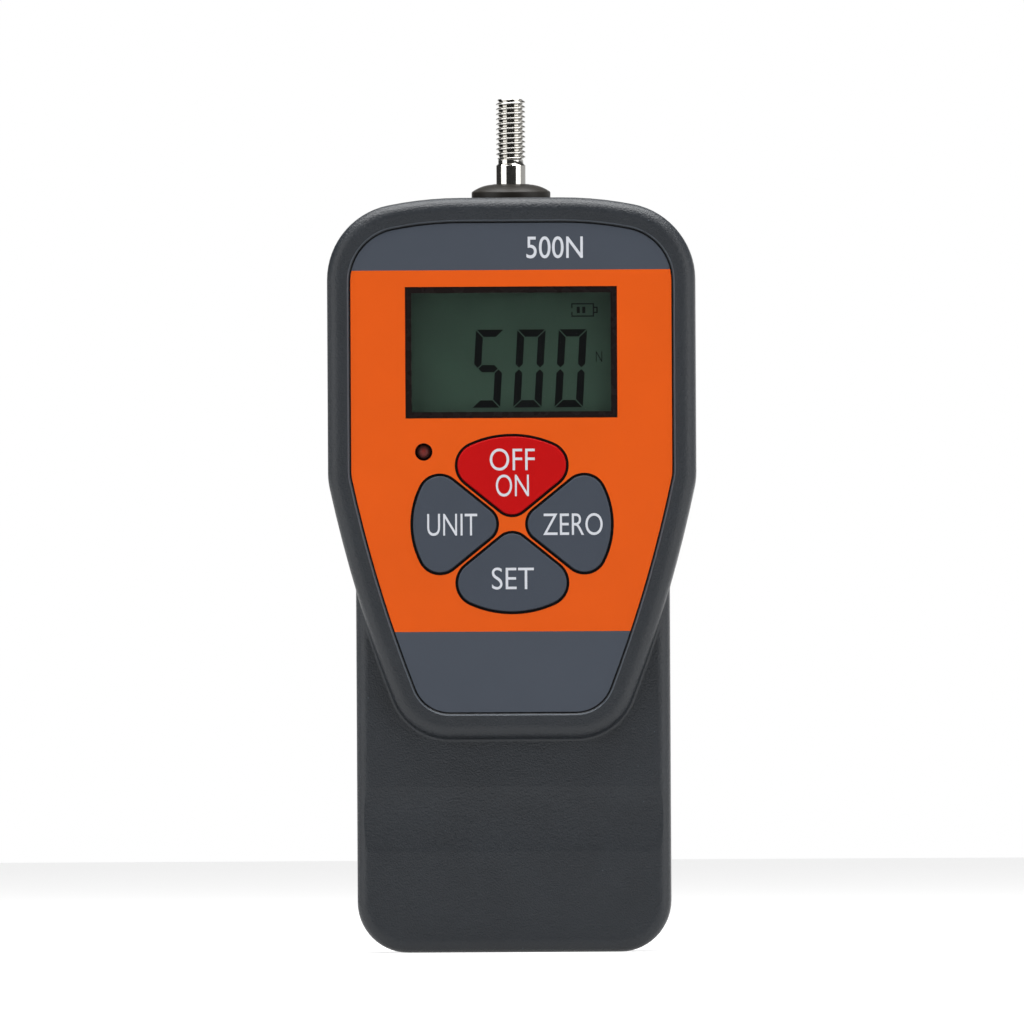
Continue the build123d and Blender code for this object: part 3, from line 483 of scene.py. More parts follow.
def striped_material(name, first, second, pitch, roughness, axis="X"):
    """Layered rubber or foil: two colours in even stripes, a pitch apart."""
    material, tree, shader = new_material(name)
    place = pattern_place(tree)
    along = add_node(tree, "ShaderNodeSeparateXYZ", {"Vector": place}).outputs[axis]
    turns = add_node(tree, "ShaderNodeMath", {0: along, 1: 1 / pitch}, operation="MULTIPLY")
    part = add_node(tree, "ShaderNodeMath", {0: turns.outputs[0]}, operation="FRACT")
    stripe = add_node(tree, "ShaderNodeMath", {0: part.outputs[0], 1: 0.5}, operation="GREATER_THAN")
    grain = add_node(tree, "ShaderNodeTexNoise", {"Vector": place, "Scale": 4.0})
    tint = add_node(tree, "ShaderNodeMix", {
        "Factor": stripe.outputs[0], "A": opaque(first), "B": opaque(second)}, data_type="RGBA")
    sheen = add_node(tree, "ShaderNodeMapRange", {
        "Value": grain.outputs["Fac"], "To Min": roughness - 0.08, "To Max": roughness + 0.08})
    surface(tree, shader, tint, sheen)
    return material


def dress(material, *names):
    """Give CAD nodes a material in every slot."""
    for name in names:
        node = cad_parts[name]
        for slot in node.material_slots:
            slot.material = material


def add_piece(name, mesh, material, body, replaced=()):
    """Put a finished mesh in the scene, riding on a body."""
    mesh.name = name
    mesh.materials.clear()
    mesh.materials.append(material)
    piece = bpy.data.objects.new(name, mesh)
    bpy.context.scene.collection.objects.link(piece)
    if replaced:
        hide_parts(*replaced)
    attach(piece, body)


def mesh_from(bm, smooth=False):
    """End a bmesh as a mesh, smooth up to the sharp edges where asked."""
    bmesh.ops.recalc_face_normals(bm, faces=bm.faces)
    mesh = bpy.data.meshes.new("piece")
    bm.to_mesh(mesh)
    bm.free()
    if smooth:
        mesh.shade_smooth()
        mesh.set_sharp_from_angle(angle=SMOOTH_ANGLE)
    else:
        mesh.shade_flat()
    return mesh


def text_mesh(body, width, height, weight, place, front, thickness):
    """Flat lettering that faces -Y, fitted to a width and height in millimetres around a place (x, z)."""
    curve = bpy.data.curves.new("lettering", "FONT")
    curve.body = body
    curve.offset = weight
    curve.resolution_u = 6
    lettering = bpy.data.objects.new("lettering", curve)
    mesh = bpy.data.meshes.new_from_object(lettering)
    bpy.data.objects.remove(lettering)
    bm = bmesh.new()
    bm.from_mesh(mesh)
    bpy.data.meshes.remove(mesh)
    low = Vector(min(vert.co[axis] for vert in bm.verts) for axis in range(3))
    high = Vector(max(vert.co[axis] for vert in bm.verts) for axis in range(3))
    centre, size = (low + high) / 2, high - low
    bmesh.ops.translate(bm, verts=bm.verts, vec=-centre)
    bmesh.ops.scale(bm, verts=bm.verts, vec=(width * MM / size.x, height * MM / size.y, 1))
    stand_up = Matrix.Rotation(pi / 2, 4, "X")
    to_place = Matrix.Translation((place[0] * MM, front * MM, place[1] * MM))
    bmesh.ops.transform(bm, matrix=to_place @ stand_up, verts=bm.verts)
    return give_thickness(bm, thickness)


def give_thickness(bm, thickness):
    """Turn flat faces that lie in a plane of constant y into a layer that stands out towards -Y."""
    bmesh.ops.remove_doubles(bm, verts=bm.verts, dist=WELD)
    made = bmesh.ops.extrude_face_region(bm, geom=bm.faces[:])["geom"]
    verts = [item for item in made if isinstance(item, bmesh.types.BMVert)]
    bmesh.ops.translate(bm, verts=verts, vec=(0, -thickness * MM, 0))
    return mesh_from(bm)


def front_faces(name):
    """A bmesh with only the faces of a CAD node that face -Y at its very front."""
    bm = bmesh.new()
    bm.from_mesh(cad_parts[name].data)
    bmesh.ops.remove_doubles(bm, verts=bm.verts, dist=CAD_WELD)
    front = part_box(name)[0].y
    hidden = [face for face in bm.faces
              if face.normal.y > -0.99 or face.calc_center_median().y > front + 1e-5]
    bmesh.ops.delete(bm, geom=hidden, context="FACES")
    return bm


def beside_keys(face, margin):
    """True if a face lies within a margin of a key's box, in the front view."""
    centre = face.calc_center_median()
    for name in KEY_BODIES:
        low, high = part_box(name)
        if low.x - margin < centre.x < high.x + margin and low.z - margin < centre.z < high.z + margin:
            return True
    return False


KEY_BODIES = {"key_power": "power_key", "key_unit": "unit_key", "key_zero": "zero_key", "key_set": "set_key"}
LEGENDS = (                 # key, word, its width, and how far right of and above the key's middle it stands
    ("key_power", "OFF", 9.0, 0.1, 3.2),
    ("key_power", "ON", 6.6, 0.1, -2.0),
    ("key_unit", "UNIT", 10.0, -0.5, -0.1),
    ("key_zero", "ZERO", 11.9, 0.7, -0.1),
    ("key_set", "SET", 8.4, 0.1, -1.2),
)
DIGIT_SEGMENTS = {          # digit: segments that are on, as in the usual a-to-g order
    "5": "afgcd",
    "0": "abcdef",
}
UNIT_LETTER_SIZE = (1.25, 2.1)                      # millimetres, on the display
UNIT_LETTER_PLACE = (17.55, 119.1)
BATTERY_LIMITS = (12.05, 16.6, 127.1, 129.8)        # left, right, bottom and top of its outline
BATTERY_BARS_LEFT = (13.15, 14.25)
BATTERY_BAR = 0.6


class GAUGE_OT_finish_case(bpy.types.Operator):
    """Give the moulded case halves and the outer fittings their finish"""

    bl_idname = "gauge.finish_case"
    bl_label = "Finish the case"

    def execute(self, context):
        colours = context.scene.gauge_colours
        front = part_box("front_case")[0].y / MM
        dress(case_plastic("charcoal_textured_ABS", colours.case, front), "front_case", "back_case")
        acetal = gloss_plastic("black_polished_acetal", linear("211E1A"), roughness=0.4, level=0.25)
        dress(acetal, "shaft_collar")
        return {"FINISHED"}


class GAUGE_OT_finish_panel(bpy.types.Operator):
    """Give the panel its printed overlay, and print the lines around the keys and the capacity"""

    bl_idname = "gauge.finish_panel"
    bl_label = "Finish the panel"

    def execute(self, context):
        colours, sizes = context.scene.gauge_colours, context.scene.gauge_print
        dress(printed_overlay("printed_polycarbonate_overlay", colours, sizes), "face_panel")
        bm = front_faces("face_panel")
        ring = bmesh.ops.inset_region(bm, faces=bm.faces[:], thickness=sizes.outline * MM,
                                      use_boundary=True, use_even_offset=True)["faces"]
        kept = {face for face in ring if beside_keys(face, margin=1.0 * MM)}
        bmesh.ops.delete(bm, geom=[face for face in bm.faces if face not in kept], context="FACES")
        if not bm.faces:
            raise RuntimeError("the panel has no openings beside the keys")
        ink = screen_ink("black_screen_ink", colours.outline, roughness=0.4)
        add_piece("key_outlines", give_thickness(bm, sizes.ink), ink, "case")
        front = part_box("face_panel")[0].y / MM
        number = text_mesh("500N", sizes.capacity_width, sizes.legend_height, 0.003,
                           (sizes.capacity_right, sizes.capacity_up), front, sizes.ink)
        add_piece("capacity_number", number, screen_ink("pale_grey_screen_ink", colours.legend), "case")
        return {"FINISHED"}


class GAUGE_OT_finish_keys(bpy.types.Operator):
    """Give the four keys their plastics and legends"""

    bl_idname = "gauge.finish_keys"
    bl_label = "Finish the keys"

    def execute(self, context):
        colours, sizes = context.scene.gauge_colours, context.scene.gauge_print
        dress(satin_key("red_satin_ABS", colours.power), "key_power")
        dress(satin_key("grey_satin_ABS", colours.band), "key_unit", "key_zero", "key_set")
        ink = bpy.data.materials["pale_grey_screen_ink"]
        for name, word, width, right, above in LEGENDS:
            low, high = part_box(name)
            place = (low.x + high.x) / 2 / MM + right, (low.z + high.z) / 2 / MM + above
            mesh = text_mesh(word, width, sizes.legend_height, -0.004, place, low.y / MM, sizes.ink)
            add_piece(f"legend_{word.lower()}", mesh, ink, KEY_BODIES[name])
        return {"FINISHED"}


def segment_outlines(sizes):
    """The seven segments of one digit as outlines (x, z) around its middle, by letter."""
    width, height, thick = sizes.digit_width, sizes.digit_height, sizes.segment
    trim = sizes.gap / 2 * sqrt(2)
    left, right, top, middle = -width / 2, width / 2, height / 2, 0.0
    flat_top = [(left + trim, top), (right - trim, top), (right - thick - trim, top - thick),
                (left + thick + trim, top - thick)]
    side = [(right, top - trim), (right, thick / 2 + trim), (right - thick / 2, trim),
            (right - thick, thick / 2 + trim), (right - thick, top - thick - trim)]
    across = [(left + thick / 2 + trim, middle), (left + thick + trim, thick / 2),
              (right - thick - trim, thick / 2), (right - thick / 2 - trim, middle),
              (right - thick - trim, -thick / 2), (left + thick + trim, -thick / 2)]

    def flipped(outline, x=1, z=1):
        return [(x * place[0], z * place[1]) for place in outline]

    return {"a": flat_top, "b": side, "c": flipped(side, z=-1), "d": flipped(flat_top, z=-1),
            "e": flipped(side, x=-1, z=-1), "f": flipped(side, x=-1), "g": across}


class GAUGE_OT_build_display(bpy.types.Operator):
    """Finish the display's frame, window and glass, and lay the segments on the glass"""

    bl_idname = "gauge.build_display"
    bl_label = "Build the display"

    def execute(self, context):
        colours, sizes = context.scene.gauge_colours, context.scene.gauge_display
        dress(gloss_plastic("black_gloss_ABS", linear("181010"), roughness=0.25, level=0.15), "display_frame")
        dress(clear_acrylic("clear_acrylic"), "display_window")
        dress(lcd_polariser_painted_reflections("reflective_lcd_glass", colours.glass), "lcd_cell")
        ink = screen_ink("lcd_segment", colours.segment, roughness=0.35)
        low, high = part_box("lcd_cell")
        front, middle = low.y / MM, (low.z + high.z) / 2 / MM
        outlines = segment_outlines(sizes)
        bm = bmesh.new()
        for column, digit in enumerate("500"):
            x = sizes.last_digit - (2 - column) * sizes.digit_pitch
            for letter in DIGIT_SEGMENTS[digit]:
                points = [(x + px + pz * tan(sizes.slant), middle - sizes.drop + pz)
                          for px, pz in outlines[letter]]
                self.add_outline(bm, points, front)
        add_piece("lcd_digits", give_thickness(bm, sizes.layer), ink, "case")
        letter = text_mesh("N", *UNIT_LETTER_SIZE, -0.012, UNIT_LETTER_PLACE, front, sizes.layer)
        add_piece("lcd_unit_letter", letter, ink, "case")
        add_piece("lcd_battery_symbol", self.battery_symbol(sizes, front), ink, "case")
        return {"FINISHED"}

    def add_outline(self, bm, points, front):
        """A flat face through points (x, z) in the plane of the glass."""
        verts = [bm.verts.new((x * MM, front * MM, z * MM)) for x, z in points]
        bm.faces.new(verts)

    def battery_symbol(self, sizes, front):
        """Battery outline, open at the left, with a nub at the right and two bars."""
        line, (left, right, bottom, top) = sizes.symbol_line, BATTERY_LIMITS
        inner_low, inner_high = bottom + line, top - line
        nub, shoulder = right + 3 * line, 3 * line
        nub_low, nub_high = bottom + shoulder, top - shoulder
        bars = [
            (left, right, inner_high, top),
            (left, right, bottom, inner_low),
            (right - line, right, inner_low, inner_high),
            (left, left + line, inner_high - shoulder, inner_high),
            (left, left + line, inner_low, inner_low + shoulder),
            (right, nub, nub_high - line, nub_high),
            (right, nub, nub_low, nub_low + line),
            (nub - line, nub, nub_low + line, nub_high - line),
        ]
        bars += [(x, x + BATTERY_BAR, nub_low, nub_high) for x in BATTERY_BARS_LEFT]
        bm = bmesh.new()
        for x_low, x_high, z_low, z_high in bars:
            self.add_outline(bm, [(x_low, z_low), (x_high, z_low), (x_high, z_high), (x_low, z_high)], front)
        return give_thickness(bm, sizes.layer)


INSERT_DIAMETER = 4.0       # stand bosses: outside diameter of their thread
SPIGOT_DIAMETER = 6.0       # stand bosses: the end that the chassis sits on
SPIGOT_LENGTH = 3.0         # through the chassis plate
TONGUE = (3.8, 0.9)         # data port: width and thickness of its tongue
TONGUE_SHORTER = 1.0        # than the port
CONTACT_SHORTER = 1.5       # than the tongue
CROSS_FLOOR = 0.55          # a cross recess: its floor as a part of its mouth
ARC_NEAR = 1 - cos(radians(30))   # how far a quarter round lies inside its corner, a third of the way
SHANK_LENGTH = 4.1          # stud: plain length above the collar
RELIEF_DEPTH = 0.4          # groove between the shank and the thread
RELIEF_LENGTH = 0.7
END_CHAMFER = 0.45
FLEX_ROOM = 0.3             # stud: clear of the bottom of its hole when the load cell flexes


def thread_surface(pitch, crest, root, low, high, steps):
    """Helical thread about Z between two heights, open at both ends.

    A root wider than the crest makes an inner thread.
    """
    top, bottom, rounding = pitch / 4, pitch / 8, pitch / 16
    rise = (pitch - top - bottom) / 2
    shoulder = crest + rounding * tan(pi / 6) * (1 if root > crest else -1)
    profile = [(shoulder, 0.0), (crest, rounding), (crest, top - rounding), (shoulder, top),
               (root, top + rise), (root, top + rise + bottom), (shoulder, pitch)]
    turns = int((high - low) / pitch) + 3
    bm = bmesh.new()
    start = low - 1.5 * pitch
    verts = [bm.verts.new((radius * MM, 0, (start + rise) * MM)) for radius, rise in profile]
    edges = [bm.edges.new(pair) for pair in zip(verts, verts[1:])]
    bmesh.ops.subdivide_edges(bm, edges=[edges[3], edges[5]], cuts=2)
    bmesh.ops.spin(bm, geom=bm.verts[:] + bm.edges[:], cent=(0, 0, 0), axis=(0, 0, 1),
                   dvec=(0, 0, pitch * MM / steps), angle=2 * pi * turns, steps=steps * turns, use_merge=False)
    bmesh.ops.remove_doubles(bm, verts=bm.verts, dist=WELD)
    for height, away in ((low, -1), (high, 1)):
        bmesh.ops.bisect_plane(bm, geom=bm.verts[:] + bm.edges[:] + bm.faces[:], dist=1e-8,
                               plane_co=(0, 0, height * MM), plane_no=(0, 0, away), clear_outer=True)
    return bm


def open_loop(bm, height):
    """The boundary edges at a height."""
    return [edge for edge in bm.edges
            if edge.is_boundary and all(abs(vert.co.z - height * MM) < 1e-7 for vert in edge.verts)]


def carry_on(bm, edges, profile):
    """Extend an open loop through circles (radius, height) about Z."""
    for radius, height in profile:
        made = bmesh.ops.extrude_edge_only(bm, edges=edges)["geom"]
        verts = [item for item in made if isinstance(item, bmesh.types.BMVert)]
        edges = [item for item in made if isinstance(item, bmesh.types.BMEdge)]
        for vert in verts:
            scale = radius * MM / hypot(vert.co.x, vert.co.y)
            vert.co = (vert.co.x * scale, vert.co.y * scale, height * MM)
    return edges


def hold_under(bm, radius, height, slope):
    """Trim a thread's crests under a cone that has a radius at a height and opens by a slope."""
    for vert in bm.verts:
        limit = radius * MM + slope * (vert.co.z - height * MM)
        reach = hypot(vert.co.x, vert.co.y)
        if reach > limit > 0:
            vert.co.x *= limit / reach
            vert.co.y *= limit / reach


class GAUGE_OT_cut_stud(bpy.types.Operator):
    """Model the stud with its thread, relief groove and shank"""

    bl_idname = "gauge.cut_stud"
    bl_label = "Cut the stud's thread"

    def execute(self, context):
        sizes = context.scene.gauge_thread
        low, high = (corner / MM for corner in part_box("sensor_shaft"))
        collar_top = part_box("shaft_collar")[1].z / MM
        plain = high.x
        neck, shank_top = plain - RELIEF_DEPTH, collar_top + SHANK_LENGTH
        thread_low = shank_top + RELIEF_LENGTH
        bm = thread_surface(sizes.stud_pitch, plain, plain - sizes.stud_depth, thread_low, high.z, steps=48)
        hold_under(bm, neck, thread_low, slope=1.0)
        hold_under(bm, plain - END_CHAMFER, high.z, slope=-1.0)
        lower = open_loop(bm, thread_low)
        upper = open_loop(bm, high.z)
        foot = carry_on(bm, lower, [
            (neck, shank_top), (plain, shank_top - RELIEF_DEPTH), (plain, low.z + FLEX_ROOM)])
        bmesh.ops.edgeloop_fill(bm, edges=foot)
        bmesh.ops.edgeloop_fill(bm, edges=upper)
        steel = turned_metal("turned_stainless_steel", linear("C9C7C2"), 0.08, groove=0.5, depth=0.0004)
        add_piece("threaded_stud", mesh_from(bm, smooth=True), steel, "sensor",
                  ("sensor_shaft",))
        return {"FINISHED"}


def solid_boxes(name):
    """The box of each separate solid in a CAD node, in millimetres."""
    bm = bmesh.new()
    bm.from_mesh(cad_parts[name].data)
    bmesh.ops.remove_doubles(bm, verts=bm.verts, dist=CAD_WELD)
    waiting = set(bm.verts)
    boxes = []
    while waiting:
        solid = [waiting.pop()]
        for vert in solid:
            for edge in vert.link_edges:
                other = edge.other_vert(vert)
                if other in waiting:
                    waiting.discard(other)
                    solid.append(other)
        boxes.append([Vector(pick(vert.co[axis] for vert in solid) / MM for axis in range(3))
                      for pick in (min, max)])
    bm.free()
    return boxes


def onto_back(bm, x, z):
    """Turn a piece made up along Z so that it points to the back, and move it to its axis."""
    place = Matrix.Translation((x * MM, 0, z * MM)) @ Matrix.Rotation(-pi / 2, 4, "X")
    bmesh.ops.transform(bm, matrix=place, verts=bm.verts)


def joined(meshes):
    """One mesh out of several."""
    bm = bmesh.new()
    for mesh in meshes:
        bm.from_mesh(mesh)
        bpy.data.meshes.remove(mesh)
    return mesh_from(bm, smooth=True)


class GAUGE_OT_cut_screws(bpy.types.Operator):
    """Model the case screws with rounded heads and cross recesses"""

    bl_idname = "gauge.cut_screws"
    bl_label = "Cut the case screws"

    def execute(self, context):
        sizes = context.scene.gauge_screws
        screws = [self.screw(sizes, *box) for box in solid_boxes("case_screws")]
        zinc = turned_metal("black_zinc_plated_steel", linear("3A3A3C"), 0.3,
                            groove=0.3, depth=0.003, axis="Y")
        add_piece("cross_head_screws", joined(screws), zinc, "case", ("case_screws",))
        return {"FINISHED"}

    def screw(self, sizes, low, high):
        """One screw, from its tip up to the cross in its head."""
        head, shank, tip = (high.x - low.x) / 2, sizes.shank / 2, sizes.tip
        edge, seat = sizes.dome, high.y - sizes.head
        bm = bmesh.new()
        bmesh.ops.create_circle(bm, cap_ends=True, segments=48, radius=(shank - tip) * MM)
        bmesh.ops.translate(bm, verts=bm.verts, vec=(0, 0, low.y * MM))
        rim = carry_on(bm, bm.edges[:], [
            (shank, low.y + tip), (shank, seat), (head, seat), (head, high.y - edge),
            (head - ARC_NEAR * edge, high.y - 0.5 * edge), (head - 0.5 * edge, high.y - ARC_NEAR * edge),
            (head - edge, high.y)])
        reach, half = sizes.cross_reach * MM, sizes.cross_width / 2 * MM
        cross = []
        for quarter in range(4):
            turn = Matrix.Rotation(quarter * pi / 2, 3, "Z")
            arm = (reach, -half, 0), (reach, half, 0), (half, half, 0)
            cross += [turn @ Vector(corner) for corner in arm]
        verts = [bm.verts.new(corner + Vector((0, 0, high.y * MM))) for corner in cross]
        mouth = [bm.edges.new(pair) for pair in zip(verts, verts[1:] + verts[:1])]
        bmesh.ops.triangle_fill(bm, use_beauty=True, edges=rim + mouth)
        made = bmesh.ops.extrude_edge_only(bm, edges=mouth)["geom"]
        floor = [item for item in made if isinstance(item, bmesh.types.BMVert)]
        bmesh.ops.scale(bm, verts=floor, vec=(CROSS_FLOOR, CROSS_FLOOR, 1))
        bmesh.ops.translate(bm, verts=floor, vec=(0, 0, -sizes.cross_depth * MM))
        bmesh.ops.edgeloop_fill(bm, edges=[item for item in made if isinstance(item, bmesh.types.BMEdge)
                                           and all(vert in floor for vert in item.verts)])
        onto_back(bm, (low.x + high.x) / 2, (low.z + high.z) / 2)
        return mesh_from(bm)


class GAUGE_OT_cut_bosses(bpy.types.Operator):
    """Model the four threaded stand bosses in the back"""

    bl_idname = "gauge.cut_bosses"
    bl_label = "Cut the stand bosses"

    def execute(self, context):
        sizes = context.scene.gauge_thread
        bosses = [self.boss(sizes, *box) for box in solid_boxes("stand_bosses")]
        brass = turned_metal("turned_brass", linear("B59A5B"), 0.24, groove=0.3, depth=0.003, axis="Y")
        add_piece("threaded_stand_bosses", joined(bosses), brass, "case", ("stand_bosses",))
        return {"FINISHED"}

    def boss(self, sizes, low, high):
        """One boss: the thread first, then its mouths and its outside."""
        outside, spigot, edge = (high.x - low.x) / 2, SPIGOT_DIAMETER / 2, sizes.insert_edge
        shoulder = low.y + SPIGOT_LENGTH
        crest = INSERT_DIAMETER / 2 - sizes.insert_depth
        mouth = INSERT_DIAMETER / 2 + sizes.insert_lead
        start, end = low.y + sizes.insert_depth, high.y - sizes.insert_depth
        bm = thread_surface(sizes.insert_pitch, crest, crest + sizes.insert_depth, start, end, steps=32)
        lower, upper = open_loop(bm, start), open_loop(bm, end)
        lower = carry_on(bm, lower, [(mouth, low.y), (spigot, low.y), (spigot, shoulder), (outside, shoulder),
                                     (outside, high.y - edge)])
        upper = carry_on(bm, upper, [(mouth, high.y), (outside - edge, high.y)])
        bmesh.ops.bridge_loops(bm, edges=lower + upper)
        onto_back(bm, (low.x + high.x) / 2, (low.z + high.z) / 2)
        return mesh_from(bm)


class GAUGE_OT_finish_port(bpy.types.Operator):
    """Give the data port its shell finish, its black tongue and its gold contacts"""

    bl_idname = "gauge.finish_port"
    bl_label = "Finish the data port"

    def execute(self, context):
        sizes = context.scene.gauge_screws
        dress(milled_metal("tinned_steel", linear("B4B3AF"), 0.3, stroke=0.3), "data_port")
        low, high = (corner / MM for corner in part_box("data_port"))
        x, y, length = (low.x + high.x) / 2, (low.y + high.y) / 2, high.z - low.z - TONGUE_SHORTER
        width, thickness = (size + sizes.tongue_skin for size in TONGUE)
        sleeve = self.block(width, thickness, length, x, y, low.z + sizes.tongue_start)
        nylon = moulded_plastic("black_glass_filled_nylon", linear("161617"), 0.4, grain=0.3, depth=0.01)
        add_piece("port_tongue", mesh_from(sleeve), nylon, "case")
        contacts = []
        for side in (-1, 1):
            for column in range(-2, 3):
                place = x + column * sizes.contact_pitch, y + side * (thickness + sizes.tongue_skin) / 2
                contacts.append(mesh_from(self.block(
                    sizes.contact, sizes.contact_thickness, length - CONTACT_SHORTER,
                    *place, low.z + sizes.contact_start)))
        gold = milled_metal("gold_plated_bronze", linear("D8B25A"), 0.22, stroke=0.2)
        add_piece("port_contacts", joined(contacts), gold, "case")
        return {"FINISHED"}

    def block(self, width, depth, height, x, y, z):
        """A block that stands on a height."""
        bm = bmesh.new()
        bmesh.ops.create_cube(bm, size=MM)
        bmesh.ops.scale(bm, verts=bm.verts, vec=(width, depth, height))
        bmesh.ops.translate(bm, verts=bm.verts, vec=(x * MM, y * MM, (z + height / 2) * MM))
        return bm


class GAUGE_OT_finish_inside(bpy.types.Operator):
    """Give the load cell, boards, batteries, sockets and fasteners their finishes"""

    bl_idname = "gauge.finish_inside"
    bl_label = "Finish the inner pieces"

    def execute(self, context):
        aluminium = milled_metal("milled_aluminium", linear("B9BBBD"), 0.34, stroke=0.25)
        dress(aluminium, "load_cell", "chassis")
        dress(turned_metal("zinc_plated_steel", linear("A9A9A6"), 0.28, groove=0.3, depth=0.003, axis="Y"),
              "board_screws", "chassis_screws", "socket_screws")
        dress(turned_metal("black_oxide_steel", linear("2B2A2A"), 0.38, groove=0.3, depth=0.003),
              "load_cell_bolt", "shaft_nut")
        dress(circuit_laminate("green_circuit_laminate"), "main_board", "socket_board")
        dress(moulded_plastic("black_epoxy_moulding", linear("18181A"), 0.5, grain=0.2, depth=0.01),
              "board_chips", "key_switches")
        dress(moulded_plastic("black_nylon", linear("1D1C1C"), 0.45, grain=0.3, depth=0.015),
              "lcd_holder", "battery_tray", "charge_jack")
        dress(moulded_plastic("dark_acetal", linear("2A2A2C"), 0.35, grain=0.4, depth=0.01),
              "plunger_power", "plunger_unit", "plunger_zero", "plunger_set")
        dress(striped_material("zebra_rubber", linear("1A1A1C"), linear("C9B9A6"), 0.3, 0.6), "lcd_strips")
        dress(striped_material("amber_gauge_film", linear("B5701C"), linear("8C6A3C"), 0.5, 0.3, axis="Z"),
              "strain_gauges")
        dress(moulded_plastic("green_pvc_sleeve", linear("1F6B42"), 0.3, grain=1.2, depth=0.01),
              "battery_cells")
        dress(milled_metal("nickel_strip", linear("C6C3BA"), 0.3, stroke=0.3), "battery_tabs", "charge_pin")
        dress(lamp_epoxy("red_lamp_epoxy", "status_lamp"), "status_lamp")
        return {"FINISHED"}


def white_for_view(name, colour, level):
    """Studio paper: matt, lit by the lamps, and lifted to white where it is looked at or mirrored."""
    material, tree, shader = new_material(name)
    rays = add_node(tree, "ShaderNodeLightPath")
    seen = add_node(tree, "ShaderNodeMath", {
        0: rays.outputs["Is Camera Ray"], 1: rays.outputs["Is Glossy Ray"]}, operation="MAXIMUM")
    seen = add_node(tree, "ShaderNodeMath", {
        0: seen.outputs[0], 1: rays.outputs["Is Transmission Ray"]}, operation="MAXIMUM")
    lift = add_node(tree, "ShaderNodeMath", {0: seen.outputs[0], 1: level}, operation="MULTIPLY")
    shader.inputs["Base Color"].default_value = opaque(linear(colour))
    shader.inputs["Roughness"].default_value = 0.9
    shader.inputs["Emission Color"].default_value = (1, 1, 1, 1)
    tree.links.new(lift.outputs[0], shader.inputs["Emission Strength"])
    return material


FLOOR_WIDTH = 5.0           # metres, as are the softboxes' places and sizes
FLOOR_LIFT = 0.74           # what the floor adds to its lit shade to be seen as white
SIDE_BOX_PLACE = (0.87, -0.5, 0.25)
SIDE_BOX_SIZE = (0.8, 0.9)
TOP_BOX_PLACE = (0, 0.02, 1.15)
TOP_BOX_SIZE = (1.4, 1.1)


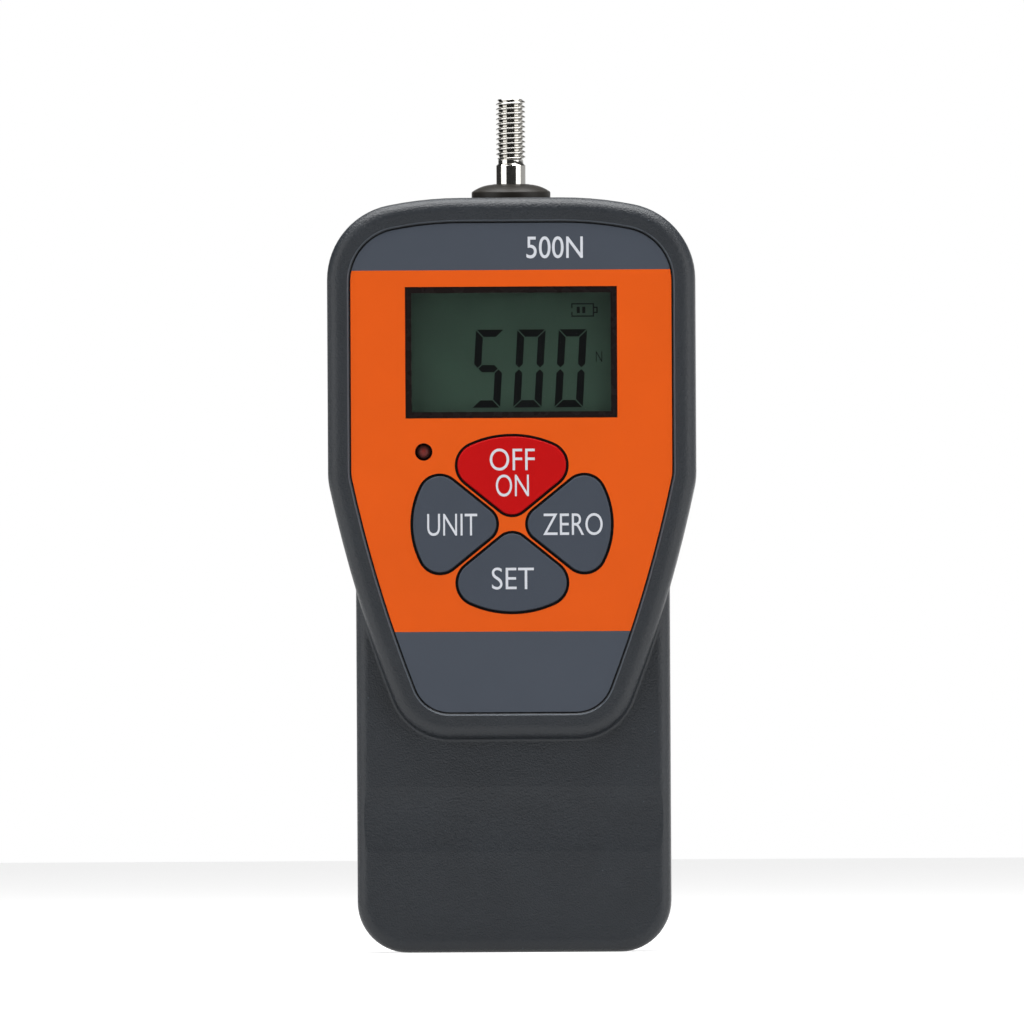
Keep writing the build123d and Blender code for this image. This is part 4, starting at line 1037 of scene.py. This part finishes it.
class GAUGE_OT_set_stage(bpy.types.Operator):
    """Lay the floor, hang the lamps and aim the camera"""

    bl_idname = "gauge.set_stage"
    bl_label = "Set the stage"

    def execute(self, context):
        stage = context.scene.gauge_stage
        self.add_floor(FLOOR_WIDTH, white_for_view("floor_paper", "989898", FLOOR_LIFT))
        low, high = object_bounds()
        target = (low + high) / 2
        for name, side in (("left_softbox", -1), ("right_softbox", 1)):
            place = side * SIDE_BOX_PLACE[0], *SIDE_BOX_PLACE[1:]
            self.add_softbox(name, place, SIDE_BOX_SIZE, stage.side_power, target)
        self.add_softbox("top_softbox", TOP_BOX_PLACE, TOP_BOX_SIZE, stage.top_power, target)
        self.light_room(context.scene)
        self.aim_camera(context.scene, stage, low.y)
        context.scene.view_settings.view_transform = "Standard"
        return {"FINISHED"}

    def add_floor(self, width, material):
        bm = bmesh.new()
        bmesh.ops.create_grid(bm, x_segments=1, y_segments=1, size=width / 2)
        mesh = bpy.data.meshes.new("floor")
        bm.to_mesh(mesh)
        bm.free()
        mesh.materials.append(material)
        floor = bpy.data.objects.new("floor", mesh)
        bpy.context.scene.collection.objects.link(floor)
        floor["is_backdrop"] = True

    def add_softbox(self, name, place, size, power, target):
        lamp = bpy.data.lights.new(name, "AREA")
        lamp.shape = "RECTANGLE"
        lamp.size, lamp.size_y = size
        lamp.energy = power
        box = bpy.data.objects.new(name, lamp)
        box.location = place
        box.rotation_euler = (target - Vector(place)).to_track_quat("-Z", "Y").to_euler()
        bpy.context.scene.collection.objects.link(box)

    def light_room(self, scene):
        """A white room: plain white where it is looked at, even where it lights matt surfaces.

        Gloss mirrors it dark behind the camera, far left and higher up, and light behind the object.
        """
        world = bpy.data.worlds.new("studio_room")
        world.use_nodes = True
        scene.world = world
        tree = world.node_tree
        tree.nodes.clear()
        way = add_node(tree, "ShaderNodeTexCoord").outputs["Generated"]
        axes = add_node(tree, "ShaderNodeSeparateXYZ", {"Vector": way}).outputs
        front = add_node(tree, "ShaderNodeMapRange", {
            "Value": axes["Y"], "From Min": -0.8, "From Max": -0.4})
        left = add_node(tree, "ShaderNodeMapRange", {
            "Value": axes["X"], "From Min": -0.5, "From Max": -0.3, "To Min": 0.05, "To Max": 1.0})
        right = add_node(tree, "ShaderNodeMapRange", {
            "Value": axes["X"], "From Min": 0.3, "From Max": 0.5, "To Min": 1.0, "To Max": 0.6})
        sky = add_node(tree, "ShaderNodeMapRange", {
            "Value": axes["Z"], "From Min": 0.15, "From Max": 0.4, "To Min": 1.0, "To Max": 0.15})
        sides = add_node(tree, "ShaderNodeMath", {
            0: left.outputs[0], 1: right.outputs[0]}, operation="MULTIPLY")
        sides = add_node(tree, "ShaderNodeMath", {
            0: sides.outputs[0], 1: sky.outputs[0]}, operation="MULTIPLY")
        mirrored = add_node(tree, "ShaderNodeMapRange", {
            "Value": front.outputs[0], "To Min": 0.04, "To Max": sides.outputs[0]})
        rays = add_node(tree, "ShaderNodeLightPath").outputs
        glossy = add_node(tree, "ShaderNodeMapRange", {
            "Value": rays["Is Glossy Ray"], "To Min": 0.3, "To Max": mirrored.outputs[0]})
        room = add_node(tree, "ShaderNodeBackground", {
            "Color": (1, 1, 1, 1), "Strength": glossy.outputs[0]})
        plain = add_node(tree, "ShaderNodeBackground", {"Color": (1, 1, 1, 1), "Strength": 1.0})
        mix = add_node(tree, "ShaderNodeMixShader", {
            0: rays["Is Camera Ray"], 1: room.outputs[0], 2: plain.outputs[0]})
        add_node(tree, "ShaderNodeOutputWorld", {"Surface": mix.outputs[0]})

    def aim_camera(self, scene, stage, front):
        data = bpy.data.cameras.new("camera")
        data.sensor_width = LENS_WIDTH
        data.lens = stage.distance / stage.picture_width * LENS_WIDTH
        camera = bpy.data.objects.new("camera", data)
        level = Matrix.Rotation(pi / 2, 4, "X") @ Matrix.Rotation(stage.roll, 4, "Z")
        aim = Matrix.Translation((0, front, stage.aim_height)) @ Matrix.Rotation(stage.turn, 4, "Z")
        camera.matrix_world = aim @ Matrix.Translation((0, -stage.distance, 0)) @ level
        scene.collection.objects.link(camera)
        scene.camera = camera


OPERATORS = (
    GAUGE_OT_set_stage, GAUGE_OT_finish_case, GAUGE_OT_finish_panel, GAUGE_OT_finish_keys,
    GAUGE_OT_build_display, GAUGE_OT_cut_stud, GAUGE_OT_cut_screws, GAUGE_OT_cut_bosses,
    GAUGE_OT_finish_port, GAUGE_OT_finish_inside,
)
GROUPS = {
    "gauge_colours": GaugeColours, "gauge_print": PrintSizes, "gauge_display": DisplaySizes,
    "gauge_thread": ThreadSizes, "gauge_screws": ScrewSizes, "gauge_stage": StageSettings,
}


class GAUGE_PT_sidebar(bpy.types.Panel):
    """Settings and steps of the gauge's finish"""

    bl_idname = "GAUGE_PT_sidebar"
    bl_label = "Force gauge"
    bl_space_type = "VIEW_3D"
    bl_region_type = "UI"
    bl_category = "Force gauge"

    def draw(self, context):
        for operator in OPERATORS:
            self.layout.operator(operator.bl_idname)
        for name, group in GROUPS.items():
            column = self.layout.column(align=True)
            for size in group.__annotations__:
                column.prop(getattr(context.scene, name), size)


def register():
    for group in (*GROUPS.values(), *OPERATORS, GAUGE_PT_sidebar):
        bpy.utils.register_class(group)
    for name, group in GROUPS.items():
        setattr(bpy.types.Scene, name, bpy.props.PointerProperty(type=group))


def unregister():
    for name in GROUPS:
        delattr(bpy.types.Scene, name)
    for group in (GAUGE_PT_sidebar, *reversed(OPERATORS), *GROUPS.values()):
        bpy.utils.unregister_class(group)


def main():
    """Make every piece."""
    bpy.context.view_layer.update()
    register()
    for operator in OPERATORS:
        group, name = operator.bl_idname.split(".")
        getattr(getattr(bpy.ops, group), name)()


if __name__ == "__main__":
    main()
